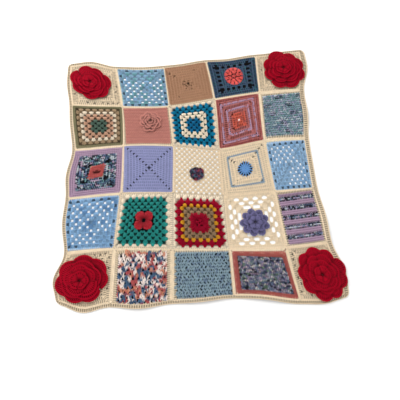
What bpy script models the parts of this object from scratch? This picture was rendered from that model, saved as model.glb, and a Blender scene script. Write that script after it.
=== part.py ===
"""A granny square blanket: five rows of five crocheted squares in a cream border, laid flat.

Metres, +X to the right, +Y to the back, +Z up. The blanket lies on z = 0.
A place on the cloth is given by its bay: s runs 0 to 5 from left to right, t runs 0 to 5 from back
to front, and lay() turns it into a place on the floor.
"""

import math

import bmesh
import bpy
import numpy as np
from mathutils import Vector
from mathutils.geometry import delaunay_2d_cdt

# Driving sizes
BAYS = 5
CLOTH = 0.0040  # thickness of the crochet
CLEAR = 0.0004  # between two neighbouring pieces
LIFT = 0.0003  # between a flower and the square under it
BAY = 0.180  # usual width of a bay, used to turn a length into a share of a bay
BORDER = {"left": 0.009, "right": 0.016, "back": 0.009, "front": 0.010}  # width of the cream border
CORNER = 0.020  # radius of the border's outer corners
CELLS = 6  # steps along each side of a square
CORNER_TURNS = (0.97, 1.37)  # the points of an outer corner's arc, in radians from its side
MERGE = 0.0001  # points nearer than this are one point

# Where the seams cross, in millimetres from the middle of the floor plan.
# A row for each line of crossings, back to front; the first and last columns are the outer edges.
CROSSING_X = (
    (-457, -275, -94, 66, 259, 454),
    (-444, -252, -81, 88, 259, 428),
    (-427, -249, -72, 91, 257, 416),
    (-444, -258, -80, 92, 268, 418),
    (-441, -279, -89, 95, 283, 434),
    (-462, -292, -100, 97, 305, 466),
)
CROSSING_Y = (
    (457, 435, 430, 447, 461, 479),
    (275, 261, 252, 274, 293, 299),
    (93, 102, 92, 70, 96, 92),
    (-84, -77, -85, -103, -97, -94),
    (-274, -266, -278, -289, -294, -286),
    (-430, -450, -452, -447, -477, -464),
)
# How far the outer edge swells out at the middle of each bay, in millimetres, left to right or
# back to front.
SWELL = {
    "back": (16, -2, -3, -5, 2),
    "right": (14, 5, 1, 6, 15),
    "front": (20, 8, 4, -4, 7),
    "left": (6, 3, 11, 8, 22),
}
# Soft humps where the cloth stands clear of the floor: middle, reach and height in millimetres.
#       x,    y, reach x, reach y, height
RISES = (
    (-438, 170, 90, 170, 7),
    (-462, -190, 50, 130, 5),
    (-185, 60, 120, 70, 4),
    (-175, -190, 90, 90, 4),
    (165, 10, 60, 90, 5),
    (190, 185, 90, 90, 4),
    (430, 190, 70, 80, 7),
    (452, -250, 80, 110, 7),
    (10, -455, 120, 80, 5),
    (205, -452, 100, 90, 6),
    (-200, -455, 90, 70, 4),
    (10, 400, 130, 90, 5),
    (230, 440, 110, 80, 5),
)

# The squares: name, row, column (from the back left), colour, and how the crochet opens up.
SQUARES = (
    ("square_11_rose_ground", 1, 1, "cream", None),
    ("square_12_sky_granny", 1, 2, "sky", "granny"),
    ("square_13_tan_solid", 1, 3, "tan", None),
    ("square_14_slate_coral", 1, 4, "slate", None),
    ("square_15_rose_ground", 1, 5, "cream", None),
    ("square_21_olive_granny", 2, 1, "olive", None),
    ("square_22_pink_solid", 2, 2, "pink", None),
    ("square_23_teal_granny", 2, 3, "teal", None),
    ("square_24_brick_rounds", 2, 4, "brick", None),
    ("square_25_slate_mottled", 2, 5, "mottled", None),
    ("square_31_lilac_diamond", 3, 1, "lilac", None),
    ("square_32_lilac_solid", 3, 2, "lilac", None),
    ("square_33_cream_mesh", 3, 3, "cream", None),
    ("square_34_cream_star", 3, 4, "cream", None),
    ("square_35_sky_granny", 3, 5, "sky", "granny"),
    ("square_41_sky_granny", 4, 1, "sky", "granny"),
    ("square_42_green_granny", 4, 2, "green", None),
    ("square_43_crimson_granny", 4, 3, "crimson", None),
    ("square_44_cream_lace", 4, 4, "cream", "lace"),
    ("square_45_lilac_stripes", 4, 5, "lilac", None),
    ("square_51_rose_ground", 5, 1, "cream", None),
    ("square_52_speckled_granny", 5, 2, "speckled", None),
    ("square_53_slate_moss", 5, 3, "slate", None),
    ("square_54_mottled_framed", 5, 4, "mottled", None),
    ("square_55_rose_ground", 5, 5, "cream", None),
)

# Gaps between the stitch clusters, as cut through the cloth, in millimetres. Each pattern has rounds of
# gaps, from the middle outwards, and every round has the same gaps on each of its four sides.
#    from the middle, gaps a side, apart, width along the side, depth across it
GAP_ROUNDS = {
    "granny": (
        (26.4, 1, 26.4, 7.6, 8.0),
        (39.6, 2, 26.4, 7.6, 8.0),
        (52.8, 3, 26.4, 7.6, 8.0),
        (66.0, 4, 26.4, 7.6, 8.0),
        (79.2, 5, 26.4, 7.6, 8.0),
    ),
    "lace": (
        (44.6, 2, 32.4, 26.0, 13.0),
        (58.9, 3, 32.4, 17.0, 11.0),
        (72.7, 4, 32.4, 17.0, 11.0),
    ),
}
GAP_SIDES = {"granny": 4, "lace": 6}

# The sewn-on flowers: name, middle x and y, length and breadth, all in millimetres, the turn of the
# length from +X in degrees, how many lobes the rim has, how deep they are as a share of the radius,
# the colour and the kind.
FLOWERS = (
    ("rose_back_left", -364, 368, 158, 136, -40, 7, 0.05, "crimson", "rose"),
    ("rose_back_right", 366, 386, 158, 152, 20, 8, 0.06, "crimson", "rose"),
    ("rose_front_left", -375, -357, 164, 150, -10, 7, 0.05, "crimson", "rose"),
    ("rose_front_right", 388, -386, 174, 144, -58, 9, 0.07, "crimson", "rose"),
    ("flower_pink", -147, 191, 74, 73, 0, 6, 0.05, "pink", "bud"),
    ("flower_plum", 7, -18, 44, 44, 15, 6, 0.05, "plum", "bud"),
    ("flower_violet", 191, -205, 94, 88, -20, 8, 0.11, "violet", "bud"),
)
# A flower's section, from its middle over the top, round the rim and back underneath:
# share of the radius, height over the cloth in millimetres, and share of the lobes that it shows.
SECTIONS = {
    "rose": (
        (0.00, 12.0, 0.0),
        (0.10, 13.5, 0.0),
        (0.17, 18.0, 0.2),
        (0.33, 18.5, 0.4),
        (0.38, 14.0, 0.4),
        (0.56, 16.0, 0.6),
        (0.63, 14.5, 0.6),
        (0.68, 10.0, 0.6),
        (0.86, 11.0, 1.0),
        (0.96, 9.0, 1.0),
        (1.00, 6.5, 1.0),
        (0.96, 4.0, 1.0),
        (0.60, 0.0, 0.3),
        (0.00, 0.0, 0.0),
    ),
    "bud": (
        (0.00, 7.0, 0.0),
        (0.16, 10.0, 0.1),
        (0.40, 10.5, 0.4),
        (0.50, 7.0, 0.4),
        (0.80, 7.5, 1.0),
        (1.00, 4.5, 1.0),
        (0.92, 2.0, 1.0),
        (0.50, 0.0, 0.2),
        (0.00, 0.0, 0.0),
    ),
}
FLOWER_STEPS = {"rose": 40, "bud": 28}

# Colour and roughness of each yarn
YARNS = {
    "cream": (0.80, 0.69, 0.52),
    "sky": (0.30, 0.47, 0.68),
    "tan": (0.47, 0.27, 0.16),
    "slate": (0.16, 0.26, 0.34),
    "olive": (0.36, 0.31, 0.18),
    "pink": (0.60, 0.24, 0.20),
    "teal": (0.01, 0.22, 0.32),
    "brick": (0.42, 0.13, 0.11),
    "mottled": (0.22, 0.26, 0.36),
    "lilac": (0.36, 0.33, 0.56),
    "green": (0.03, 0.28, 0.27),
    "crimson": (0.42, 0.01, 0.03),
    "speckled": (0.42, 0.33, 0.34),
    "plum": (0.08, 0.06, 0.10),
    "violet": (0.17, 0.14, 0.30),
}
YARN_ROUGHNESS = 0.9


def padded_crossings():
    """The crossings in metres, with one more line on every side that carries the slope on."""
    points = np.stack([np.array(CROSSING_X, float), np.array(CROSSING_Y, float)], axis=2) / 1000
    for axis in (0, 1):
        points = np.swapaxes(points, 0, axis)
        before = 2 * points[:1] - points[1:2]
        after = 2 * points[-1:] - points[-2:-1]
        points = np.swapaxes(np.concatenate([before, points, after]), 0, axis)
    return points


CROSSINGS = padded_crossings()


def curve_weights(f):
    """The share of each of four points in a row in a smooth curve, f of the way past the second."""
    return (
        (-(f**3) + 2 * f**2 - f) / 2,
        (3 * f**3 - 5 * f**2 + 2) / 2,
        (-3 * f**3 + 4 * f**2 + f) / 2,
        (f**3 - f**2) / 2,
    )


def swell(name, along, inward):
    """How far the cloth is pushed out near one outer edge, in metres, fading over one bay."""
    bay = min(max(int(along), 0), BAYS - 1)
    rise = math.sin(math.pi * (along - bay)) ** 2
    return SWELL[name][bay] / 1000 * rise * max(0.0, 1.0 - inward) ** 2


def lay_off_centre(s, t):
    """The floor plan (x, y) of a place on the cloth, before the plan is centred."""
    column, row = min(int(s), BAYS - 1), min(int(t), BAYS - 1)
    across, down = curve_weights(s - column), curve_weights(t - row)
    x = y = 0.0
    for i in range(4):
        for j in range(4):
            share = down[i] * across[j]
            x += share * CROSSINGS[row + i, column + j, 0]
            y += share * CROSSINGS[row + i, column + j, 1]
    x += swell("right", t, BAYS - s) - swell("left", t, s)
    y += swell("back", s, t) - swell("front", s, BAYS - t)
    return x, y


def plan_centre():
    """The middle of the box round the whole outline."""
    steps = [BAYS * i / 200 for i in range(201)]
    edge = [lay_off_centre(s, t) for s in steps for t in (0, BAYS)]
    edge += [lay_off_centre(s, t) for t in steps for s in (0, BAYS)]
    xs, ys = [p[0] for p in edge], [p[1] for p in edge]
    return (min(xs) + max(xs)) / 2, (min(ys) + max(ys)) / 2


CENTRE = plan_centre()


def lay(s, t):
    """Where a place on the cloth lies on the floor, with the middle of the outline at the origin."""
    x, y = lay_off_centre(s, t)
    return x - CENTRE[0], y - CENTRE[1]


def rise(x, y):
    """How far the cloth's underside stands over the floor."""
    height = 0.0
    for at_x, at_y, reach_x, reach_y, top in RISES:
        away = ((x * 1000 - at_x) / reach_x) ** 2 + ((y * 1000 - at_y) / reach_y) ** 2
        if away < 1:
            height += top / 1000 * (1 - away) ** 2
    return height


def yarn(name):
    """The material of one yarn, made once."""
    found = bpy.data.materials.get(name)
    if found:
        return found
    made = bpy.data.materials.new(name)
    made.use_nodes = True
    shader = made.node_tree.nodes["Principled BSDF"]
    shader.inputs["Base Color"].default_value = (*YARNS[name], 1.0)
    shader.inputs["Roughness"].default_value = YARN_ROUGHNESS
    return made


def add_piece(name, mesh_edit, colour, collection):
    """An object from an edited mesh, with its faces turned outwards."""
    mesh_edit.normal_update()
    bmesh.ops.recalc_face_normals(mesh_edit, faces=mesh_edit.faces)
    mesh = bpy.data.meshes.new(name)
    mesh_edit.to_mesh(mesh)
    mesh_edit.free()
    mesh.materials.append(yarn(colour))
    mesh.shade_smooth()
    mesh.set_sharp_from_angle(angle=math.radians(50))
    piece = bpy.data.objects.new(name, mesh)
    collection.objects.link(piece)
    return piece


def thicken(mesh_edit):
    """Closes a sheet that lies on its underside into a solid as thick as the cloth."""
    made = bmesh.ops.extrude_face_region(mesh_edit, geom=list(mesh_edit.faces), use_keep_orig=True)
    top = [item for item in made["geom"] if isinstance(item, bmesh.types.BMVert)]
    bmesh.ops.translate(mesh_edit, verts=top, vec=(0, 0, CLOTH))


def place_on_floor(mesh_edit, to_bay):
    """Moves each point of a flat sheet, drawn in its own shares, to where it lies."""
    for vertex in mesh_edit.verts:
        x, y = lay(*to_bay(vertex.co.x, vertex.co.y))
        vertex.co = Vector((x, y, rise(x, y)))


def border_box():
    """The border's inner edges in bays: left, right, back and front."""
    return (
        BORDER["left"] / BAY,
        BAYS - BORDER["right"] / BAY,
        BORDER["back"] / BAY,
        BAYS - BORDER["front"] / BAY,
    )


def square_to_bay(row, column):
    """A function from a place on a square, -0.5 to 0.5 each way, to its bays, clear of its neighbours."""
    clear = CLEAR / 2 / BAY
    inner = border_box()
    left = inner[0] if column == 1 else column - 1
    right = inner[1] if column == BAYS else column
    back = inner[2] if row == 1 else row - 1
    front = inner[3] if row == BAYS else row

    def to_bay(u, v):
        s = left + clear + (u + 0.5) * (right - left - 2 * clear)
        t = front - clear - (v + 0.5) * (front - back - 2 * clear)
        return s, t

    return to_bay


def gap_outlines(pattern):
    """The outline of each gap, in shares of the square's bay, as corners of a diamond or a hexagon."""
    sides = GAP_SIDES[pattern]
    millimetre = 0.001 / BAY
    outlines = []
    for out, count, apart, width, depth in GAP_ROUNDS[pattern]:
        for side in range(4):
            for gap in range(count):
                along = (gap - (count - 1) / 2) * apart
                outline = []
                for k in range(sides):
                    turn = 2 * math.pi * k / sides
                    x = along + width / 2 * math.cos(turn)
                    y = out + depth / 2 * math.sin(turn)
                    for _ in range(side):
                        x, y = -y, x
                    outline.append(Vector((x * millimetre, y * millimetre, 0)))
                outlines.append(outline)
    return outlines


def inside(point, outline):
    """Whether a point is inside a convex outline that runs anticlockwise."""
    following = outline[1:] + outline[:1]
    return all((b - a).cross(point - a).z > 0 for a, b in zip(outline, following))


def add_open_square(mesh_edit, pattern):
    """A sheet one unit wide with the pattern's gaps left open."""
    outlines = gap_outlines(pattern)
    steps = [k / CELLS - 0.5 for k in range(CELLS)]
    rim = [Vector((k, -0.5, 0)) for k in steps]
    rim += [Vector((0.5, k, 0)) for k in steps]
    rim += [Vector((-k, 0.5, 0)) for k in steps]
    rim += [Vector((-0.5, -k, 0)) for k in steps]
    points = [p.to_2d() for p in rim]
    edges = [(k, (k + 1) % len(rim)) for k in range(len(rim))]
    for outline in outlines:
        first = len(points)
        count = len(outline)
        points += [p.to_2d() for p in outline]
        edges += [(first + k, first + (k + 1) % count) for k in range(count)]
    points.append(Vector((0, 0)))
    places, _, faces, _, _, _ = delaunay_2d_cdt(points, edges, [], 0, 1e-7)
    verts = [mesh_edit.verts.new((p.x, p.y, 0)) for p in places]
    for face in faces:
        middle = sum((places[k] for k in face), Vector((0, 0))) / len(face)
        if not any(inside(middle.to_3d(), outline) for outline in outlines):
            mesh_edit.faces.new([verts[k] for k in face])


def make_square(name, row, column, colour, pattern, collection):
    mesh_edit = bmesh.new()
    if pattern:
        add_open_square(mesh_edit, pattern)
    else:
        bmesh.ops.create_grid(mesh_edit, x_segments=CELLS, y_segments=CELLS, size=0.5)
    place_on_floor(mesh_edit, square_to_bay(row, column))
    thicken(mesh_edit)
    return add_piece(name, mesh_edit, colour, collection)


def edge_stops(low, high):
    """Where the cells of the outer squares meet one side of the border, which runs from low to high."""
    stops = [low + (1 - low) * k / CELLS for k in range(1, CELLS)]
    stops += [1 + k / CELLS for k in range(CELLS * (BAYS - 2))]
    stops += [BAYS - 1 + (high - BAYS + 1) * k / CELLS for k in range(CELLS)]
    return stops


def border_loops():
    """The border's inner and outer edge, as places in bays, the same number of points in each."""
    clear = CLEAR / 2 / BAY
    left, right, back, front = border_box()
    radius = CORNER / BAY
    arc = [(radius * (1 - math.cos(a)), radius * (1 - math.sin(a))) for a in CORNER_TURNS]
    sides = ((left, right), (back, front), (BAYS - right, BAYS - left), (BAYS - front, BAYS - back))
    left, right, back, front = left - clear, right + clear, back - clear, front + clear
    inner, outer = [], []
    for side, (low, high) in enumerate(sides):
        # One side runs from its first corner along t = 0, and is turned to its place.
        run = arc + [(stop, 0.0) for stop in edge_stops(low, high)]
        run += [(BAYS - s, t) for s, t in reversed(arc)]
        for k, (s, t) in enumerate(run):
            for _ in range(side):
                s, t = BAYS - t, s
            if len(arc) <= k < len(run) - len(arc):
                near = (min(max(s, left), right), min(max(t, back), front))
            else:
                near = (left if s < 1 else right, back if t < 1 else front)
            inner.append(near)
            outer.append((s, t))
    return inner, outer


def make_border(name, collection):
    """One strip worked round the outside: a ring of faces between its two edges, then thickened."""
    mesh_edit = bmesh.new()
    inner, outer = border_loops()
    near_verts = [mesh_edit.verts.new((*place, 0)) for place in inner]
    far_verts = [mesh_edit.verts.new((*place, 0)) for place in outer]
    for k in range(len(inner)):
        before = k - 1
        mesh_edit.faces.new((near_verts[before], far_verts[before], far_verts[k], near_verts[k]))
    bmesh.ops.remove_doubles(mesh_edit, verts=mesh_edit.verts, dist=MERGE)
    place_on_floor(mesh_edit, lambda s, t: (s, t))
    thicken(mesh_edit)
    return add_piece(name, mesh_edit, "cream", collection)


def make_flower(flower, collection):
    """A ruffled flower, shaped from a sphere: each ring of the sphere takes a ring of the section."""
    name, mid_x, mid_y, length, breadth, turn, lobes, lobe_depth, colour, kind = flower
    section = SECTIONS[kind]
    lean = math.radians(turn)
    mesh_edit = bmesh.new()
    bmesh.ops.create_uvsphere(
        mesh_edit, u_segments=FLOWER_STEPS[kind], v_segments=len(section) - 1, radius=1
    )
    for vertex in mesh_edit.verts:
        ring = round(math.acos(max(-1, min(1, vertex.co.z))) / math.pi * (len(section) - 1))
        share, height, lobed = section[ring]
        angle = math.atan2(vertex.co.y, vertex.co.x)
        wave = abs(math.cos(lobes * angle / 2))
        reach = share * (1 + lobe_depth * lobed * (2 * wave - 1))
        along = length / 2 * reach * math.cos(angle)
        across = breadth / 2 * reach * math.sin(angle)
        x = (mid_x + along * math.cos(lean) - across * math.sin(lean)) / 1000
        y = (mid_y + along * math.sin(lean) + across * math.cos(lean)) / 1000
        vertex.co = Vector((x, y, rise(x, y) + CLOTH + LIFT + height / 1000))
    return add_piece(name, mesh_edit, colour, collection)


def clear_scene():
    for thing in list(bpy.data.objects):
        bpy.data.objects.remove(thing)


def main():
    clear_scene()
    collection = bpy.data.collections.new("granny_square_blanket")
    bpy.context.scene.collection.children.link(collection)
    for name, row, column, colour, pattern in SQUARES:
        make_square(name, row, column, colour, pattern, collection)
    make_border("border", collection)
    for flower in FLOWERS:
        make_flower(flower, collection)


main()
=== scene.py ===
import math

import bpy
import numpy as np
from mathutils import Matrix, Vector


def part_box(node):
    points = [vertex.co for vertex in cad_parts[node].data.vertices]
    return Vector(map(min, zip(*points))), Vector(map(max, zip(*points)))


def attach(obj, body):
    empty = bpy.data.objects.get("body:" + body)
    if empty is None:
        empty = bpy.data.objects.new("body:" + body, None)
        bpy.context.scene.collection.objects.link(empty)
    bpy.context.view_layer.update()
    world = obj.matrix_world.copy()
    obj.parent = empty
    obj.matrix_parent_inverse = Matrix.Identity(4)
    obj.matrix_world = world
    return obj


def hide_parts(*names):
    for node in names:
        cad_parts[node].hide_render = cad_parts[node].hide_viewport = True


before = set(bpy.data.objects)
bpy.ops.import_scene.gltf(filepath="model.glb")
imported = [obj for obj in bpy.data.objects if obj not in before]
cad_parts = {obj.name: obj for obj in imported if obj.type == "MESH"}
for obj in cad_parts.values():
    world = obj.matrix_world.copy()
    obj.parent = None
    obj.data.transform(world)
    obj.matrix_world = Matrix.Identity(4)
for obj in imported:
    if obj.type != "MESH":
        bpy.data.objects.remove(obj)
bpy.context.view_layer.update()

print("granny square blanket: the frame is loaded")


def addObject(name, data):
    # A new object in the scene, at the origin and unturned.
    made = bpy.data.objects.new(name, data)
    bpy.context.scene.collection.objects.link(made)
    return made


# Camera: above the front edge, looking down at the blanket
camera = {
    "place": (-0.0377, -0.5369, 1.295),
    "right": (0.99785, -0.06281, 0.01873),
    "up": (0.05384, 0.94841, 0.31244),
    "ahead": (0.03739, 0.31076, -0.94975),
    "lens": 36,
    "sensor": 36,
    "near": 0.02,
}


def makeCamera():
    # The three axes are the columns of the camera's matrix; it looks along minus its third.
    lensData = bpy.data.cameras.new("camera")
    lensData.lens, lensData.sensor_width = camera["lens"], camera["sensor"]
    lensData.clip_start = camera["near"]
    eye = addObject("camera", lensData)
    behind = [-k for k in camera["ahead"]]
    turned = Matrix((camera["right"], camera["up"], behind)).transposed().to_4x4()
    turned.translation = camera["place"]
    eye.matrix_world = turned
    bpy.context.scene.camera = eye


makeCamera()

# How the cloth lies, in millimetres
lie = {
    "crossX": (  # where the seams cross, row by row from the back
        (-457, -275, -94, 66, 259, 454),
        (-444, -252, -81, 88, 259, 428),
        (-427, -249, -72, 91, 257, 416),
        (-444, -258, -80, 92, 268, 418),
        (-441, -279, -89, 95, 283, 434),
        (-462, -292, -100, 97, 305, 466),
    ),
    "crossY": (
        (457, 435, 430, 447, 461, 479),
        (275, 261, 252, 274, 293, 299),
        (93, 102, 92, 70, 96, 92),
        (-84, -77, -85, -103, -97, -94),
        (-274, -266, -278, -289, -294, -286),
        (-430, -450, -452, -447, -477, -464),
    ),
    "centre": (-3.28747, -1.12464),  # middle of the outline, which comes to the origin
    "swell": {  # how far the outer edge bulges in each bay
        "back": (16, -2, -3, -5, 2),
        "right": (14, 5, 1, 6, 15),
        "front": (20, 8, 4, -4, 7),
        "left": (6, 3, 11, 8, 22),
    },
    "humps": (  # x, y, reach x, reach y, height of each place where the cloth is off the floor
        (-438, 170, 90, 170, 7), (-462, -190, 50, 130, 5), (-185, 60, 120, 70, 4), (-175, -190, 90, 90, 4),
        (165, 10, 60, 90, 5), (190, 185, 90, 90, 4), (430, 190, 70, 80, 7), (452, -250, 80, 110, 7),
        (10, -455, 120, 80, 5), (205, -452, 100, 90, 6), (-200, -455, 90, 70, 4), (10, 400, 130, 90, 5),
        (230, 440, 110, 80, 5),
    ),
    "bay": 180.0,  # nominal width of a square, which every pattern is drawn for
    "colour": 84.0,  # from a pattern's middle to the end of its coloured part
    "border": {"left": 9.0, "right": 16.0, "back": 9.0, "front": 10.0},
    "strip": 16.0,  # width that the border's own stitches are drawn for
    "corner": 20.0,
    "clear": 0.4,  # between two squares
}
half = lie["bay"] / 2  # from a pattern's middle to its edge
crossings = np.pad(
    np.stack([np.array(lie["crossX"], float), np.array(lie["crossY"], float)], 2),
    ((1, 1), (1, 1), (0, 0)), mode="reflect", reflect_type="odd",
)


def curveShares(f):
    # Shares of four points in a row in a smooth curve through the middle two, f of the way along.
    square, cube = f**2, f**3
    shares = (2 * square - cube - f, 3 * cube - 5 * square + 2, 4 * square - 3 * cube + f, cube - square)
    return np.stack(shares, -1) / 2


def swellOut(edge, along, inward):
    # A sine squared bulge over each bay, fading with the square of the way to the next seam.
    bay = np.clip(np.floor(along).astype(int), 0, 4)
    bulge = np.sin(np.pi * (along - bay)) ** 2
    return np.array(lie["swell"][edge])[bay] * bulge * np.maximum(0, 1 - inward) ** 2


def layDown(s, t):
    # A place on the cloth in bays (s to the right, t to the front) becomes x, y in millimetres: the
    # sum of the sixteen crossings round it, each times its share across and its share down.
    column = np.clip(np.floor(s).astype(int), 0, 4)
    row = np.clip(np.floor(t).astype(int), 0, 4)
    across, down = curveShares(s - column), curveShares(t - row)
    x, y = np.zeros_like(s), np.zeros_like(s)
    for i in range(4):
        for j in range(4):
            share = down[..., i] * across[..., j]
            x += share * crossings[row + i, column + j, 0]
            y += share * crossings[row + i, column + j, 1]
    x += swellOut("right", t, 5 - s) - swellOut("left", t, s) - lie["centre"][0]
    y += swellOut("back", s, t) - swellOut("front", s, 5 - t) - lie["centre"][1]
    return x, y


def liftOff(x, y, z):
    # Places in metres, each at its height over the cloth. The cloth itself lies on a sum of round
    # humps, each its height times (1 - distance squared) squared.
    height = np.zeros_like(x)
    for atX, atY, reachX, reachY, top in lie["humps"]:
        away = ((x - atX) / reachX) ** 2 + ((y - atY) / reachY) ** 2
        height += top * np.maximum(0, 1 - away) ** 2
    return np.stack([x, y, height + z], 1) / 1000


def borderBox():
    # The border's inner edges in bays: left, right, back and front.
    width = {side: wide / lie["bay"] for side, wide in lie["border"].items()}
    return width["left"], 5 - width["right"], width["back"], 5 - width["front"]


def squarePlace(row, column, twirl, corners):
    # A function from a pattern's own millimetres, -90 to 90 each way, to the floor plan. The twirl
    # turns the middle of the pattern by its angle, and less outwards, by 1 - (distance / 84) squared.
    # Then each place moves by the four corners' shifts, each times its share of the place across and
    # down, and less outside the coloured part, to nothing at the outer edge.
    clear, bay, colour = lie["clear"] / 2 / lie["bay"], lie["bay"], lie["colour"]
    inner = borderBox()
    left = inner[0] if column == 1 else column - 1
    right = inner[1] if column == 5 else column
    back = inner[2] if row == 1 else row - 1
    front = inner[3] if row == 5 else row
    shifts = np.array(corners, float)

    def place(points):
        x, y, z = points.T
        ring = np.maximum(abs(x), abs(y))
        turn = math.radians(twirl) * (1 - np.minimum(1, ring / colour) ** 2)
        u = x * np.cos(turn) - y * np.sin(turn)
        v = x * np.sin(turn) + y * np.cos(turn)
        across, down = np.clip(u / colour / 2 + 0.5, 0, 1), np.clip(0.5 - v / colour / 2, 0, 1)
        shares = ((1 - across) * (1 - down), across * (1 - down), across * down, (1 - across) * down)
        moved = np.stack(shares, 1) @ shifts * np.clip((half - ring) / (half - colour), 0, 1)[:, None]
        u, v = u + moved[:, 0], v + moved[:, 1]
        s = left + clear + (u / bay + 0.5) * (right - left - 2 * clear)
        t = front - clear - (v / bay + 0.5) * (front - back - 2 * clear)
        return liftOff(*layDown(s, t), z)

    return place


def borderPlace(points):
    # x runs round the outer edge in millimetres, y from 0 inside to 16 outside. The outer line is a
    # square of five bays with round corners, and the inner line is that line held to the squares' edge.
    x, y, z = points.T
    middle, radius = 2.5, lie["corner"] / lie["bay"]
    straight, arc = 2 * (middle - radius), math.pi / 2 * radius
    run = (x / lie["bay"]) % (4 * (straight + arc))
    side = np.floor(run / (straight + arc)).astype(int)
    run = run - side * (straight + arc)
    bend = np.maximum(0, run - straight) / radius
    outX = np.minimum(run, straight) - middle + radius + radius * np.sin(bend)
    outY = middle - radius + radius * np.cos(bend)
    turn = -side * math.pi / 2
    s = middle + outX * np.cos(turn) - outY * np.sin(turn)
    t = middle - outX * np.sin(turn) - outY * np.cos(turn)
    left, right, back, front = borderBox()
    clear = lie["clear"] / 2 / lie["bay"]
    innerS, innerT = np.clip(s, left - clear, right + clear), np.clip(t, back - clear, front + clear)
    share = y / lie["strip"]
    return liftOff(*layDown(innerS + (s - innerS) * share, innerT + (t - innerT) * share), z)


# The yarns, as the eye reads them in soft daylight (0 to 255)
yarns = {
    "cream": (236, 217, 188), "white": (246, 243, 236), "fanCream": (246, 230, 206),
    "sky": (146, 186, 222), "slateSky": (146, 180, 206), "skyPale": (160, 194, 224),
    "skyDeep": (112, 156, 200), "seaTint": (120, 172, 180), "seaGreen": (108, 150, 152),
    "tan": (182, 140, 110), "taupe": (176, 150, 118), "slateTeal": (70, 92, 118),
    "tealGrey": (60, 104, 116), "coral": (226, 96, 90), "coralDeep": (190, 90, 86),
    "olive": (132, 126, 96), "dustyPink": (210, 166, 138), "greyGreen": (88, 112, 98),
    "salmon": (200, 136, 124), "teal": (0, 126, 164), "tealDeep": (4, 110, 158),
    "orangeRed": (212, 100, 80), "rose": (184, 112, 110), "lilacGrey": (190, 158, 184),
    "brick": (168, 92, 86), "slate": (146, 168, 178), "slateSea": (124, 158, 162),
    "slateDeep": (74, 88, 108), "slateBlueGrey": (108, 128, 150), "slateBlue": (76, 104, 134),
    "plumGrey": (106, 86, 104), "lavender": (164, 160, 188), "ink": (36, 38, 48),
    "mauve": (184, 156, 180), "periwinkle": (156, 160, 200), "starBlue": (108, 156, 208),
    "lineBlue": (140, 162, 180), "jade": (40, 146, 138), "cherry": (178, 40, 52),
    "crimson": (156, 0, 40), "roseRed": (168, 0, 34), "gold": (214, 150, 40), "moth": (160, 130, 100),
    "violet": (112, 108, 148), "plum": (92, 60, 88), "burgundy": (140, 58, 70),
    "brickRed": (176, 86, 86), "rustRose": (174, 92, 84), "salmonTan": (206, 138, 110),
    "pinkWhite": (240, 226, 218), "mossBlue": (136, 160, 172), "fleckBlue": (118, 132, 166),
    "fleckViolet": (92, 86, 122), "fleckGreen": (128, 158, 130), "fleckGrey": (196, 204, 208),
}


def yarnColour(name):
    # Screen colour to light: ((c + 0.055) / 1.055) to the power 2.4.
    return ((np.array(yarns[name]) / 255 + 0.055) / 1.055) ** 2.4


def yarnRun(work, names, count, run):
    # Colours for count stitches of a yarn dyed in lengths: each colour lasts about run stitches.
    pick = work["dice"].integers(0, len(names), count // run + 2)
    wobble = work["dice"].integers(0, max(1, run // 2) + 1, count)
    return np.array([yarnColour(n) for n in names])[pick[(np.arange(count) + wobble) // run]]


def dyeField(work, names, spacing):
    # A yarn dyed unevenly: spots at random, about the spacing apart, each with one of the colours.
    # A place takes the colour of the spot nearest to it.
    count = round((lie["bay"] / spacing) ** 2)
    spots = work["dice"].uniform(-half, half, (count, 2))
    tints = np.array([yarnColour(n) for n in names])[work["dice"].integers(0, len(names), count)]

    def tintAt(places):
        flat = places.reshape(-1, 1, 2) + work["dice"].normal(0, spacing / 6, (places.size // 2, 1, 2))
        nearest = ((flat - spots) ** 2).sum(2).argmin(1)
        return tints[nearest].reshape(*places.shape[:-1], 3)

    return tintAt


def tintOf(tint, spots):
    # One colour a spot: from a dye field, from a yarn's name, or from colours spread evenly over the spots.
    if callable(tint):
        return tint(spots)
    tints = np.atleast_2d(yarnColour(tint) if isinstance(tint, str) else tint)
    return tints[np.arange(len(spots)) * len(tints) // len(spots)]


def roundTint(work, yarn, tint, count):
    # What a round is worked in: its yarn, a dye field, or (names, run) for a yarn dyed in lengths.
    return yarnRun(work, tint[0], count, tint[1]) if isinstance(tint, tuple) else tint or yarn


def newWork(seed, number=""):
    # The lists that one piece is gathered in. A band is a part of the ground in one colour, darkened as
    # painted shade, a pit is left bare, an eye is a small hole between stitches over ground painted nearly
    # black as shadow, and a shade is a spot of painted shadow on the ground.
    lists = {name: [] for name in ("points", "faces", "maps", "colours", "bands", "pits", "eyes", "shade")}
    return {**lists, "count": 0, "number": number, "dice": np.random.default_rng(seed)}


def addMesh(work, points, faces, maps, colours):
    # One more lump of quads; its faces count their corners from its own first point.
    lump = {"points": points, "faces": faces + work["count"], "maps": maps, "colours": colours}
    for name, part in lump.items():
        work[name].append(part)
    work["count"] += len(points)


# One length of yarn inside a stitch, and how one ends beside or short of a small hole
strand = {
    "sides": 4, "radius": 1.5, "spread": 1.35, "lift": 0.75, "height": 2.35, "crown": 0.35,
    "tips": (0.72, 1, 0.72), "uneven": 0.05, "beside": 1.7, "short": 0.4, "least": 1.8, "shortest": 1.5,
}


def unit(way):
    # Each way, one long.
    return way / (np.linalg.norm(way, axis=-1, keepdims=True) + 1e-9)


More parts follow.
